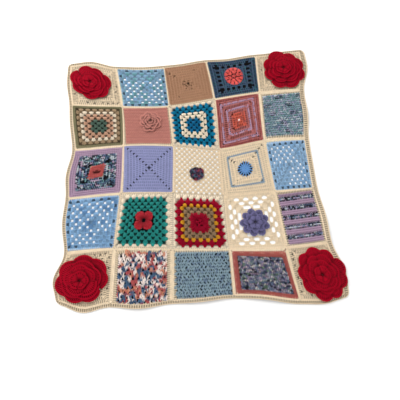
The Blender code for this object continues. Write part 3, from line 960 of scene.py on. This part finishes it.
def pinkSquare(work):
    work["pits"].append((0, 10, 26, 26))  # hidden under the flower
    for k in range(20):
        low = 8.45 * k - 84
        stitchRows(work, low, low + 8.45, "salmon", under=0.85, chain=k % 2 == 1, slip=3.4 * (k % 2))
    creamEdging(work)


brick = {
    "lines": (4, 14, 26, 37.5, 46, 61, 69.5, 77, 86),
    "yarns": ("orangeRed", "orangeRed", "rose", "lilacGrey", "rose", "lilacGrey", "rose", "brick"),
}


def brickSquare(work):
    cornerEyes(work, 2.2, (24,), "backLeft", "frontLeft")
    cornerEyes(work, 2.4, (37, 48, 60, 72), "backLeft")
    cornerEyes(work, 2.2, (56, 71), "backRight")
    cornerEyes(work, 2.2, (62, 72), "frontLeft", "frontRight")
    addEyes(work, 1.6, 13 * ways(0.7 + ringTurns(4)))
    for inner, outer, yarn in zip(brick["lines"], brick["lines"][1:], brick["yarns"]):
        dyed = dyeField(work, (yarn, yarn, yarn, "rose" if yarn in ("brick", "lilacGrey") else "brick"), 4.0)
        solidRound(work, inner, outer, yarn, 7.1, 0.95, 0.2, tint=dyed, corner=2.0)
    creamEdging(work, 86.0)
    addBand(work, "disc", 0, 6, "white", 1.0)


diamond = {
    "yarns": ("slateBlue", "slateTeal", "fleckBlue", "ink", "mauve", "fleckGrey", "seaGreen", "slateDeep",
              "slate", "ink"),
    "eyes": ((1, -2, 7.5, 2.6), (30, 34, 7.0, 3.4), (38, 42, 4.4, 2.6), (-36, -36, 9.0, 3.6),
             (-26, 27, 5.0, 4.0), (31, -27, 4.6, 4.6), (-52, 53, 2.6, 2.6), (-56, -55, 4.4, 3.0),
             (52, -56, 3.2, 2.4)),
    "reach": 23, "point": 10, "side": 6,
}


def diamondSquare(work):
    # Rounds of a yarn dyed in short lengths, mauve outside, and a four-sided middle: its reach grows by a
    # cosine squared towards two corners, and by a sharp cosine towards the other two.
    work["eyes"] += diamond["eyes"]
    dyed = dyeField(work, diamond["yarns"], 5.0)
    solidRounds(work, (24, 35, 45, 55, 64.5), "slateDeep", 7.1, girth=0.98, under=0.12, corner=2.0, tint=dyed)
    solidRounds(work, (64.5, 72, 79, 86), "mauve", 6.6, girth=0.9, under=0.35, drop=1.0)
    creamEdging(work, 86.0)
    turn = ringTurns(28)
    way, short = ways(turn), ways(turn[::2])
    point = diamond["point"] * np.maximum(0, np.cos(2 * (turn - math.pi / 4))) ** 2
    reach = diamond["reach"] + point + diamond["side"] * np.cos(2 * (turn + math.pi / 4)) ** 8
    addPosts(work, 6 * short, 16 * short, "coralDeep", 1.3, 3.3)
    addPosts(work, 15 * way, reach[:, None] * way, "coralDeep", 1.3, 3.5, 0.75)
    addBand(work, "disc", 0, 24, "coralDeep", 0.3)


lilac = {"step": 10.7, "rounds": 7, "cell": 5.2}
lilacHoles = 0.3 + lilac["step"] * np.arange(1, lilac["rounds"] + 1)  # along the diagonals
lilacLines = linesBeside(np.concatenate([-lilacHoles, [0], lilacHoles]), lilac["cell"], 86, 90)


def lilacSquare(work):
    addEyes(work, 3.4, ((0, 0),))
    addBand(work, "ring", 0, 6, "periwinkle", 0.6)
    cornerEyes(work, 2.9, lilacHoles)
    lines = 5.5 + lilac["step"] * np.arange(lilac["rounds"] + 1)
    solidRounds(work, lines, "periwinkle", 7.3, girth=1.03, under=0.66, drop=1.8)
    solidRound(work, 80.4, 85.5, "periwinkle", under=0.7)
    creamEdging(work, 85.5)


star = {
    "lines": (28, 40, 52.5, 58, 66, 76, 86),
    "yarns": ("cream", "cream", "lineBlue", "cream", "cream", "cream"),
    # every how many of the 15, from where to where, girth, height
    "spokes": ((2, 1.5, 12, 1.3, 3.0), (1, 8, 19, 1.2, 3.2), (1, 17, 27.5, 0.95, 3.4)),
}


def starSquare(work):
    cornerEyes(work, 2.7, (34, 42, 50), "backLeft")
    cornerEyes(work, 2.7, (37, 49), "backRight")
    cornerEyes(work, 2.9, (50,), "frontRight", "frontLeft")
    cornerEyes(work, 2.2, (36,), "frontLeft")
    cornerEyes(work, 2.9, (63, 75), "backRight")
    solidRounds(work, star["lines"], star["yarns"], 7.4, girth=0.99, under=0.72, drop=1.6, corner=2.0)
    creamEdging(work, 86.0)
    for each, near, far, girth, height in star["spokes"]:
        way = ways(ringTurns(15)[::each])
        addPosts(work, near * way, far * way, "starBlue", girth, height, 1.0)
    # the ground under the star painted dark as shade between the spokes, in ink, and in the star's blue
    # within 14 mm
    addBand(work, "disc", 0, 27, "ink", 0.3)
    addBand(work, "disc", 0, 14, "starBlue", 0.5)


# The grounds of the four roses: how far the rose hides them, and the small holes that show beside it
roseGround = {
    "hidden": 57, "step": 11.6, "eye": 2.2,
    "11": ((20, -74), (38, -76), (57, -74), (74, -76), (-10, -77), (-34, -72), (72, -20), (66, -48), (78, 4),
           (60, 48), (50, -62), (-76, -36)),
    "15": ((40, -66), (58, -70), (-70, 20), (72, 52), (-20, -74), (64, -58)),
    "51": ((20, 74), (40, 72), (58, 76), (74, 62), (66, 46), (76, 28), (62, 8), (70, -14), (76, -40),
           (60, -58), (-40, -76), (-20, 76), (30, 62), (-66, 40), (50, 60)),
    "55": ((-72, 66), (-76, 48), (-74, 28), (-70, 6), (-74, -14), (-68, -34), (-56, -56), (-60, 74),
           (-40, -72), (-76, -60)),
}


def roseSquare(work):
    # Plain cream rounds, every other one with its chain.
    work["pits"].append((0, 0, roseGround["hidden"], roseGround["hidden"]))
    addEyes(work, roseGround["eye"], roseGround[work["number"]])
    for k in range(2, 7):
        inner = 6.0 + roseGround["step"] * k
        solidRound(work, inner, inner + roseGround["step"], "cream", 7.0, 0.92, 0.5, k % 2 == 0, 1.2)
    creamEdging(work, 87.2)


# Squares worked in straight rows
mottled = {
    "yarns": ("slate", "slateSea", "fleckGrey", "slateBlueGrey", "slate", "lavender", "seaGreen"),
    "knots": ("ink", "plumGrey", "slateDeep", "lavender", "ink"),
    "rows": 19,
}


def mottledSquare(work):
    # Plain rows in a heathered yarn. In some of them short dark lengths of it bunch into knots, where a
    # sum of two sines along the row is over 0.3.
    dyed, knotted = dyeField(work, mottled["yarns"], 5.0), dyeField(work, mottled["knots"], 5.0)
    at, deep = np.arange(-80, 81, 6.7), 168 / mottled["rows"]
    for k in range(mottled["rows"]):
        low = k * deep - 84
        stitchRows(work, low, low + deep, "slate", 84, 7.2, 0.95, 0.2, 5 * (k % 2) - 2.5,
                   slip=3.3 * (k % 2), tint=dyed)
        if k % 4 in (1, 2):
            wave = np.sin(at / 15 + 2.1 * (k // 4)) + 0.5 * np.sin(at / 7.3 + k // 4)
            spot = at[wave > 0.3] + work["dice"].uniform(-1.5, 1.5, (wave > 0.3).sum())
            addPosts(work, rowOf(spot - 2.0, low + 0.5), rowOf(spot + 2.0, low + 7.0), knotted, 0.9, 4.4)
    creamEdging(work)


striped = {
    "yarns": ("ink", "fleckBlue", "lavender", "fleckGrey", "slateBlueGrey", "mauve", "ink"),
    "apart": 31.6,
}


def stripedSquare(work):
    # Mauve rows, and between them zigzag rows of a dark yarn dyed in short lengths, over ground painted
    # nearly black as shade.
    dyed = dyeField(work, striped["yarns"], 5.0)
    for low in -84 + striped["apart"] * np.arange(5):
        stitchRows(work, low, low + 7.0, "mauve", 84, 7.0, 0.95, 0.4)
        stitchRows(work, low + 7.0, low + 14.0, "mauve", 84, 7.0, 0.95, 0.4, slip=3.3)
        for part, lean in enumerate((5.4, -5.4)):
            first = low + 15.0 + 8.6 * part
            stitchRows(work, first, first + 8.6, "ink", 84, 8.4, 0.8, 0.1, lean, part == 0, 2.0 * part, dyed)
    stitchRows(work, -84 + striped["apart"] * 5, 84, "mauve", 84, 6.6, chain=False, under=0.5)
    creamEdging(work)


speckled = {
    "yarns": ("slateBlue", "pinkWhite", "brickRed", "slateBlue", "pinkWhite", "brickRed", "slateTeal",
              "salmonTan", "pinkWhite"),
    "rows": 11, "fans": 9,
}


def speckledSquare(work):
    # Fans of four stitches in staggered rows, in a yarn dyed in lengths that don't follow the fans.
    dyed = dyeField(work, speckled["yarns"], 9.5)
    rows, count = speckled["rows"], speckled["fans"]
    deep, wide = 170 / rows, 168 / (count + 0.5)
    leaf = np.linspace(-1, 1, 4)
    for row in range(rows):
        low = -85 + row * deep
        middles = (np.arange(count) + (0.5 if row % 2 else 1.0)) * wide - 84
        middles = middles + work["dice"].normal(0, 1.0, count)
        tip = work["dice"].normal(0, 1.6, (count, 4, 2))
        foot = rowOf(np.clip(middles[:, None] + leaf * 1.8, -82, 82).ravel(), low - 3.5)
        head = rowOf(np.clip(middles[:, None] + leaf * 8.0 + tip[..., 0], -83, 83).ravel(),
                     (low + deep - 2.0 * leaf**2 + tip[..., 1]).ravel())
        addPosts(work, foot, head, dyed, 1.1, 2.9)
        addPosts(work, head[:-1] + (0.6, 0), head[1:] - (0.6, 0), dyed, 0.7, 4.2)
        # the ground between the fans painted dark, as shade
        addBand(work, "row", low, low + deep, "ink", 0.35)
    at = np.arange(-80, 81, 6.6)
    for x in (-79.5, 79.5):
        addPosts(work, rowOf(at - 2.5, x)[:, ::-1], rowOf(at + 3, x * 1.04)[:, ::-1], dyed, 1.1, 2.6)
    creamEdging(work, 84, 0.6)


moss = {"yarns": ("mossBlue", "mossBlue", "slate", "mossBlue", "slateBlueGrey"), "rows": 14, "pairs": 14}


def mossSquare(work):
    # Pairs of stitches that lean one way in one row and the other way in the next, with a hole after each.
    dyed = dyeField(work, moss["yarns"], 6.0)
    deep, count = 170 / moss["rows"], moss["pairs"]
    for row in range(moss["rows"]):
        low = -85 + row * deep
        lean = 5.0 if row % 2 else -5.0
        at = -84 + (np.arange(count) + (0.25 if row % 2 else 0.75)) * 168 / count
        for slip in (-3.2, 1.6):
            wander = work["dice"].normal(0, 1.1, (2, count, 2))
            foot, head = rowOf(at + slip - lean / 2, low - 1.0), rowOf(at + slip + lean / 2, low + deep - 1.0)
            addPosts(work, foot + wander[0], head + wander[1], dyed, 1.05, 2.6)
        line = np.array([[-84, low + deep - 0.9], [84, low + deep - 0.9]])
        addChain(work, line, dyed, 6.5, 1.2, 3.0, 0.9, False)
        # the ground painted nearly black, as shadow in the gaps between the pairs
        addBand(work, "row", low, low + deep, "ink", 0.15)
    creamEdging(work)


framed = {
    "yarns": ("fleckBlue", "fleckViolet", "slateBlueGrey", "ink", "fleckGreen", "fleckGrey", "lavender",
              "ink", "mauve", "lavender", "pinkWhite", "slateDeep"),
    "frame": ("rustRose", "rustRose", "brick"),
    "rows": 17, "edge": 75.5,
}


def framedSquare(work):
    # Rows in a yarn flecked with many colours, in a frame of two brick rounds.
    dyed, edge = dyeField(work, framed["yarns"], 4.2), framed["edge"]
    deep = 2 * edge / framed["rows"]
    for row in range(framed["rows"]):
        low = -edge + row * deep
        stitchRows(work, low, low + deep, "ink", edge, 6.6, 0.92, 0.3, 5.0 if row % 2 else -5.0, False,
                   1.6 * (row % 2), dyed)
    solidRounds(work, (edge, 80.5, 86), "rustRose", 6.2, under=0.5, tint=(framed["frame"], 2))
    creamEdging(work, 86.0, 0.6)


# The even net of the middle square: holes on every other column, shifted on every other row
net = {"rows": 17, "pitch": 19.6, "hole": (7.0, 7.2), "half": 88, "middle": (0, -12, 20, 20)}
netDeep = 2 * net["half"] / net["rows"]
netLines = (linesBeside(np.arange(-8, 9) * net["pitch"] / 2, net["hole"][0], 90),
            linesBeside((np.arange(net["rows"]) + 0.5) * netDeep - net["half"], net["hole"][1], 90))


def netSquare(work):
    # Three stitches stand between each hole and the next, a thin chain runs along between the rows.
    for row in range(net["rows"]):
        low = row * netDeep - net["half"]
        for slip in (-4.0, 0.0, 4.0):
            at = (np.arange(-5, 6) + (0 if row % 2 else 0.5)) * net["pitch"] + slip
            at = at[abs(at) < 87]
            addPosts(work, rowOf(at, low), rowOf(at, low + netDeep), "cream", 0.92)
        line = np.array([[-88.5, low + netDeep], [88.5, low + netDeep]])
        addChain(work, line, "cream", 6.8, width=0.7, radius=0.85, closed=False)
    for x in (-88.0, 88.0):
        addChain(work, np.array([[x, -88.0], [x, 88.0]]), "cream", closed=False)


def netHoles(work, x, y):
    # A cell is open where its middle is a hole's middle, but not under the flower.
    row = np.round((y + net["half"]) / netDeep - 0.5)
    column = np.round(2 * x / net["pitch"])
    onRow = abs(y + net["half"] - (row + 0.5) * netDeep) < 0.1
    onColumn = abs(x - column * net["pitch"] / 2) < 0.1
    hidden = insideAny([net["middle"]], x, y)
    return onRow & onColumn & ((column + row) % 2 == 0) & ~hidden & (abs(column) < 9)


# The lace square: distance from the middle, holes a side, width, depth
lace = {
    "rounds": ((44.6, 2, 27.0, 18.0), (58.9, 3, 19.0, 13.6), (72.7, 4, 18.0, 13.6)),
    "apart": 32.4, "reach": 7.1,
}


def laceHoles(work, x, y):
    # Inside one of the ellipses of the three rounds, the same on every side.
    holes = []
    for out, count, width, depth in lace["rounds"]:
        middles = (np.arange(count) - (count - 1) / 2) * lace["apart"]
        for side in range(4):
            radii = (depth / 2, width / 2) if side % 2 else (width / 2, depth / 2)
            holes += [(*middle, *radii) for middle in rowOf(middles, out) @ quarter(side)]
    return insideAny(holes, x, y)


def laceSquare(work):
    # Bars of three stitches between the holes of each round, a thin chain between the rounds.
    for out, count, width, depth in lace["rounds"]:
        inner, outer = out - lace["reach"], out + lace["reach"]
        middles = (np.arange(count + 1) - count / 2) * lace["apart"]
        at = threes(middles, max(2.6, (lace["apart"] - width) / 2 - 2.4))
        at = at[abs(at) < outer]
        sidePosts(work, rowOf(at, inner), rowOf(at, outer - 0.5), "cream", 0.85)
        addChain(work, squareLine(outer, 3), "cream", 6.4, 0.8, 2.6, 0.95)
    for line in (33.5, 37):
        addChain(work, squareLine(line, 12), "cream", 6.8, height=2.6)
    solidRound(work, 80.5, 89.8, "cream", 6.6, under=0.85, drop=1.2)


def evenLines(count):
    # Even grid lines inside the edging, and two in it.
    return np.concatenate([[-90, -85.5], np.linspace(-83.5, 83.5, count), [85.5, 90]])


# Grid lines across and along the square, and what is open between them
plainGrid, fineGrid = (evenLines(17), evenLines(17), None), (evenLines(36), evenLines(36), None)
skyGrid, lilacGrid = (skyLines, skyLines, skyHoles), (lilacLines, lilacLines, None)
netGrid, laceGrid = (*netLines, netHoles), (np.linspace(-90, 90, 51), np.linspace(-90, 90, 51), laceHoles)
twirls = {"14": 3, "24": 6, "34": 5}
# Every square, its row and column in its name: its yarn, the function that works it, its grid, and how far
# the coloured part's corners are pulled: back left, back right, front right, front left
squares = {
    "square_11_rose_ground": ("cream", roseSquare, fineGrid),
    "square_12_sky_granny": ("sky", skySquare, skyGrid, (-1, 2), (3, -2), (3, 1), (1, -4)),
    "square_13_tan_solid": ("tan", tanSquare, fineGrid, (-4, 3), (2, 3), (-1, 2), (0, 3)),
    "square_14_slate_coral": ("slate", slateSquare, fineGrid, (1, 4), (3, 1), (2, 4), (-1, 0)),
    "square_15_rose_ground": ("cream", roseSquare, fineGrid),
    "square_21_olive_granny": ("olive", oliveSquare, plainGrid, (-3, 3), (2, 3), (3, 0), (2, 2)),
    "square_22_pink_solid": ("pink", pinkSquare, plainGrid, (-3, -7), (-2, 1), (-2, 4), (4, 2)),
    "square_23_teal_granny": ("teal", tealSquare, plainGrid, (-3, 3), (-2, -2), (-3, 1), (-2, 2)),
    "square_24_brick_rounds": ("brick", brickSquare, fineGrid, (2, -2), (-6, 1), (-6, -2), (-4, 0)),
    "square_25_slate_mottled": ("mottled", mottledSquare, plainGrid, (6, -13), (3, -7), (3, 13), (3, 7)),
    "square_31_lilac_diamond": ("lilac", diamondSquare, fineGrid, (-2, -3), (1, -6), (2, 2), (-2, -2)),
    "square_32_lilac_solid": ("lilac", lilacSquare, lilacGrid, (0, 2), (3, 2), (1, -1), (6, 1)),
    "square_33_cream_mesh": ("cream", netSquare, netGrid),
    "square_34_cream_star": ("cream", starSquare, fineGrid, (-5, 4), (0, 0), (0, -4), (-6, -1)),
    "square_35_sky_granny": ("sky", skySquare, skyGrid, (0, -9), (-1, 3), (-5, -3), (2, -3)),
    "square_41_sky_granny": ("sky", skySquare, skyGrid, (-3, -5), (-2, -4), (-2, 0), (-3, 10)),
    "square_42_green_granny": ("green", greenSquare, plainGrid, (6, -8), (-13, -4), (-8, 0), (-4, 1)),
    "square_43_crimson_granny": ("crimson", crimsonSquare, plainGrid, (0, -12), (-9, -11), (-1, 1), (3, 0)),
    "square_44_cream_lace": ("cream", laceSquare, laceGrid),
    "square_45_lilac_stripes": ("lilac", stripedSquare, plainGrid, (5, -7), (-6, -1), (-5, 3), (9, 1)),
    "square_51_rose_ground": ("cream", roseSquare, fineGrid),
    "square_52_speckled_granny": (
        "speckled", speckledSquare, plainGrid, (10, -12), (-12, -7), (-8, -3), (12, -1)),
    "square_53_slate_moss": ("slate", mossSquare, plainGrid, (2, -9), (3, -6), (3, -3), (8, 2)),
    "square_54_mottled_framed": ("mottled", framedSquare, plainGrid, (8, -11), (-8, -20), (3, 7), (8, 9)),
    "square_55_rose_ground": ("cream", roseSquare, fineGrid),
}
sheets = {}


def makeSquare(node, seed, yarn, design, grid, *corners):
    # One square: its ground sheet, which stands for the solid and is coloured as painted shade, and its
    # stitches.
    work = newWork(seed, node[7:9])
    if yarn == "cream":
        addBand(work, "ring", 0, half + 1, "cream", 0.85)
    design(work)
    place = squarePlace(int(node[7]), int(node[8]), twirls.get(work["number"], 0), corners or ((0, 0),) * 4)
    slot, stem = yarn + "_yarn", node.replace("square_", "sq")
    stitches = stitchPiece(stem + "_stitches", work, place, slot)
    base = groundPiece(stem + "_ground", work, place, slot, *grid)
    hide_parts(node)
    sheets[node] = (base, [stitches])
    print(f"{node}: {triangles[stitches.name] + triangles[base.name]} triangles")


for seed, (node, spec) in enumerate(squares.items()):
    makeSquare(node, seed, *spec)

# The border: a ground ring with two rounds of short stitches and a chain edge
border = {"pitch": 7.0, "cells": 420, "wide": 15.6, "rounds": ((0.6, 8.4), (7.4, 15.0)), "edge": 14.8}
borderRound = lie["bay"] * 4 * (5 - (2 - math.pi / 2) * lie["corner"] / lie["bay"])  # once round, in mm


def makeBorder():
    # Stitches stand across the strip, from the inner line to the outer, in two rounds. The ground is a
    # ring of a four-sided section, whose points are listed side by side for the whole way round.
    work = newWork(99)
    count = round(borderRound / border["pitch"])
    at = (np.arange(count) + 0.5) / count * borderRound
    for low, high in border["rounds"]:
        addPosts(work, rowOf(at, low), rowOf(at, high), "cream", 0.85)
    line = np.array([[0, border["edge"]], [borderRound, border["edge"]]])
    addChain(work, line, "cream", border["pitch"], 1.4, 3.3, closed=False)
    stitches = stitchPiece("border_stitches", work, borderPlace, "cream_yarn")
    steps = border["cells"]
    rail = np.arange(steps)
    after = (rail + 1) % steps
    low, high, wide = ground["low"], ground["high"], border["wide"]
    section = ((0.0, low), (wide, low), (wide, high), (0.0, high))
    points = np.concatenate([np.insert(rowOf(rail / steps * borderRound, y), 2, z, 1) for y, z in section])
    pairs = [(k * steps, (k + 1) % 4 * steps) for k in range(4)]
    faces = np.concatenate([np.stack([rail + a, rail + b, after + b, after + a], 1) for a, b in pairs])
    # the ground painted at 0.35 of cream, as shade between the border's stitches
    colours = np.tile(yarnColour("cream") * 0.35, (len(points), 1))
    maps = np.zeros((len(faces), 8))
    base = fillMesh("border_ground", borderPlace(points), faces, colours, maps, "cream_yarn", smooth=False)
    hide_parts("border")
    print(f"border: {triangles[stitches.name] + triangles[base.name]} triangles")


makeBorder()

# Sewn-on flowers: middle, length, breadth and turn, then the rings of petals from the outside in:
# share of the radius, petals, start of the first as a share of a petal, height over the cloth.
# The inner rings sit off the middle by the shift, in millimetres. What a flower doesn't say is as in petal.
# dark is the painted shade kept where a ring lies under the next one, and fade is how far that shade runs out
petal = {
    "slot": "crimson_yarn", "yarn": "roseRed", "ruffle": 0.09, "cup": 4.0, "scallop": 0.13, "dark": 0.42,
    "fade": 0.13, "overlap": 1.06, "rib": 6.0, "tilt": 1.5, "least": 4.9,
}
flowers = {
    "rose_back_left": dict(
        at=(-364, 368), size=(166, 126), turn=-46, shift=(2, -4), square="square_11_rose_ground",
        rings=((1.0, 7, 0.0, 4.0), (0.78, 6, 0.6, 8.0), (0.57, 5, 0.1, 11.5), (0.36, 5, 0.6, 14.5))),
    "rose_back_right": dict(
        at=(366, 386), size=(160, 154), turn=20, shift=(-3, 10), square="square_15_rose_ground", ruffle=0.1,
        rings=((1.0, 8, 0.0, 4.0), (0.78, 7, 0.5, 8.0), (0.57, 6, 0.2, 11.5), (0.36, 5, 0.6, 14.5))),
    "rose_front_left": dict(
        at=(-375, -357), size=(166, 152), turn=-10, shift=(-9, -12), square="square_51_rose_ground",
        ruffle=0.13, cup=4.5,
        rings=((1.0, 7, 0.0, 4.0), (0.8, 5, 0.3, 8.0), (0.6, 5, 0.5, 11.5), (0.36, 5, 0.2, 14.5))),
    "rose_front_right": dict(
        at=(388, -386), size=(176, 146), turn=-58, shift=(6, -6), square="square_55_rose_ground",
        rings=((1.0, 9, 0.0, 4.0), (0.76, 7, 0.5, 8.0), (0.55, 6, 0.2, 11.5), (0.34, 5, 0.8, 14.5))),
    "flower_pink": dict(
        at=(-147, 191), size=(76, 75), turn=0, shift=(1, 3), square="square_22_pink_solid",
        slot="pink_yarn", yarn="salmon", ruffle=0.12, dark=0.1, fade=0.3, scallop=0.22,
        rings=((1.0, 8, 0.3, 2.5), (0.74, 6, 0.0, 5.5), (0.5, 5, 0.5, 8.0), (0.26, 3, 0.1, 9.5))),
    "flower_plum": dict(
        at=(7, -18), size=(46, 46), turn=15, shift=(0, 0), square="square_33_cream_mesh",
        slot="plum_yarn", ruffle=0.08, cup=2.0, lengths=("plum", "ink", "burgundy", "slateDeep", "ink"),
        rings=((1.0, 6, 0.2, 2.5), (0.6, 4, 0.5, 6.0))),
    "flower_violet": dict(
        at=(191, -205), size=(96, 90), turn=-20, shift=(1, 1), square="square_44_cream_lace",
        slot="violet_yarn", yarn="violet", ruffle=0.06, cup=3.0, scallop=0.3, dark=0.3, fade=0.26,
        rings=((1.02, 9, 0.0, 2.0), (0.74, 8, 0.4, 5.5), (0.46, 6, 0.2, 8.0))),
}


def petalTint(work, spec, count):
    # The flower's yarn, which for one flower is dyed in lengths.
    if "lengths" in spec:
        return yarnRun(work, spec["lengths"], count, 1)
    return np.tile(yarnColour(spec["yarn"]), (count, 1))


def petalRing(work, spec, ring, inner, covered):
    # One ring of petals. Each is a fan of two-strand ribs whose length follows a cosine across the
    # petal; the petal rises along its ribs by its cup and tilts so that it lies over the next one.
    # Each rib is painted dark, as shade, where the ring above covers it, and reaches its full colour past
    # that line.
    share, count, start, height = ring
    length, breadth = np.array(spec["size"]) / 2
    ribs = max(6, round(math.pi * (length + breadth) * share * spec["overlap"] / count / spec["rib"]))
    across, step = np.linspace(-1, 1, ribs), np.linspace(0, 1, 4)
    shift = np.array(spec["shift"]) * (1 - share)
    for k in range(count):
        turn = 2 * math.pi * (k + start) / count + 0.5 * spec["ruffle"] * work["dice"].standard_normal()
        long = share * (1 + 0.5 * spec["ruffle"] * work["dice"].standard_normal())
        angle = turn + across * math.pi / count * spec["overlap"]
        rim = long * (1 - spec["scallop"] * (1 - np.cos(across * math.pi / 2)))
        far = inner + (rim[:, None] - inner) * step
        flat = (ways(angle) * (length, breadth))[:, None] * far[..., None] + shift
        level = 2.4 + height + spec["cup"] * np.sin(step * 2.2) + spec["tilt"] * across[:, None]
        level = np.maximum(level, spec["least"])
        bright = spec["dark"] + (1 - spec["dark"]) * np.clip((far - covered * 0.93) / spec["fade"], 0, 1)
        # the sides of each petal painted darker, as shade where the petals overlap
        bright = bright * (1 - 0.35 * abs(across[:, None]) ** 6)
        tint = petalTint(work, spec, ribs)[:, None] * bright[..., None]
        side = ways(angle)[:, ::-1] * (-1, 1)
        for begin in (0, math.pi):
            wind = begin + 2.0 * math.pi * step
            twist = side[:, None] * (1.35 * np.cos(wind))[None, :, None]
            path = np.concatenate([flat + twist, (level + 0.8 * np.sin(wind))[..., None]], 2)
            addStrands(work, path, 1.75 * np.array([0.8, 1, 1, 0.8]), tint)
        edge = np.column_stack([flat[:, -1], level[:, -1]])
        # the chain along the rim painted 2% lighter, as a highlight
        addChain(work, edge, petalTint(work, spec, ribs) * 1.02, 5.8, 2.0, 0.5, 1.6, closed=False)
        # the leaf under the ribs at half their colour: painted shade between the ribs
        addLeaf(work, np.concatenate([flat, level[..., None] - 1.9], 2), tint * 0.5)


def addLeaf(work, top, colour):
    # A thin closed leaf under the ribs: the ribs' own grid, once as it is and once 0.8 mm lower.
    rows, steps = top.shape[:2]
    index = np.arange(rows * steps).reshape(rows, steps)
    under = index + index.size
    cell = np.stack([index[:-1, :-1], index[:-1, 1:], index[1:, 1:], index[1:, :-1]], -1).reshape(-1, 4)
    edge = np.concatenate([index[0, :], index[1:, -1], index[-1, -2::-1], index[-2:0:-1, 0]])
    after = np.roll(edge, -1)
    rim = np.stack([edge, edge + index.size, after + index.size, after], 1)
    faces = np.concatenate([cell, cell[:, ::-1] + index.size, rim])
    points = np.concatenate([top.reshape(-1, 3), (top - [0, 0, 0.8]).reshape(-1, 3)])
    addMesh(work, points, faces, np.zeros((len(faces), 8)), np.tile(colour.reshape(-1, 3), (2, 1)))


def makeFlower(name, spec, seed):
    # The rings from the outside in, each starting under the next; then the whole turned and set in place.
    work, rings = newWork(seed), spec["rings"]
    for ring, above in zip(rings, [ring[0] for ring in rings[1:]] + [0.05]):
        petalRing(work, spec, ring, above * 0.72, above)
    lean, (atX, atY) = math.radians(spec["turn"]), spec["at"]

    def place(points):
        x = atX + points[:, 0] * math.cos(lean) - points[:, 1] * math.sin(lean)
        y = atY + points[:, 0] * math.sin(lean) + points[:, 1] * math.cos(lean)
        return liftOff(x, y, points[:, 2])

    piece = stitchPiece(name + "_petals", work, place, spec["slot"])
    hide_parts(name)
    sheets[spec["square"]][1].append(piece)
    print(f"{name}: {triangles[piece.name]} triangles")


for seed, (name, spec) in enumerate(flowers.items(), 200):
    makeFlower(name, {**petal, **spec}, seed)

for node, (base, pieces) in sheets.items():
    low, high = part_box(node)
print(f"all pieces: {sum(triangles.values())} triangles")

# Floor and light: plain and pale
studio = {
    "floorSize": 30.0, "floorColour": (0.93, 0.93, 0.93, 1), "sky": 0.92,
    "lampPower": 42.0, "lampSize": 1.8, "lampPlace": (-1.1, 1.3, 1.9), "lampTurn": (-38, -30, 0),
}


def makeStudio():
    # A flat floor at z = 0, even light from all round and one large soft lamp from the back left.
    floor = bpy.data.meshes.new("floor")
    reach = studio["floorSize"] / 2
    corners = [(-reach, -reach, 0), (reach, -reach, 0), (reach, reach, 0), (-reach, reach, 0)]
    floor.from_pydata(corners, [], [(0, 1, 2, 3)])
    paint = bpy.data.materials.new("floor paint")
    paint.use_nodes = True
    feedNode(paint.node_tree, paint.node_tree.nodes["Principled BSDF"],
             {"Base Color": studio["floorColour"], "Roughness": 1.0, "Specular IOR Level": 0.0})
    floor.materials.append(paint)
    addObject("floor", floor)
    world = bpy.data.worlds.new("studio")
    bpy.context.scene.world = world
    world.use_nodes = True
    feedNode(world.node_tree, world.node_tree.nodes["Background"],
             {"Color": (1, 1, 1, 1), "Strength": studio["sky"]})
    lampData = bpy.data.lights.new("soft lamp", "AREA")
    lampData.shape, lampData.size, lampData.energy = "SQUARE", studio["lampSize"], studio["lampPower"]
    lamp = addObject("soft lamp", lampData)
    lamp.location = studio["lampPlace"]
    lamp.rotation_euler = [math.radians(turn) for turn in studio["lampTurn"]]
    view = bpy.context.scene.view_settings
    view.view_transform, view.look, view.exposure = "Standard", "None", 0.0


makeStudio()
print("floor and light are set")
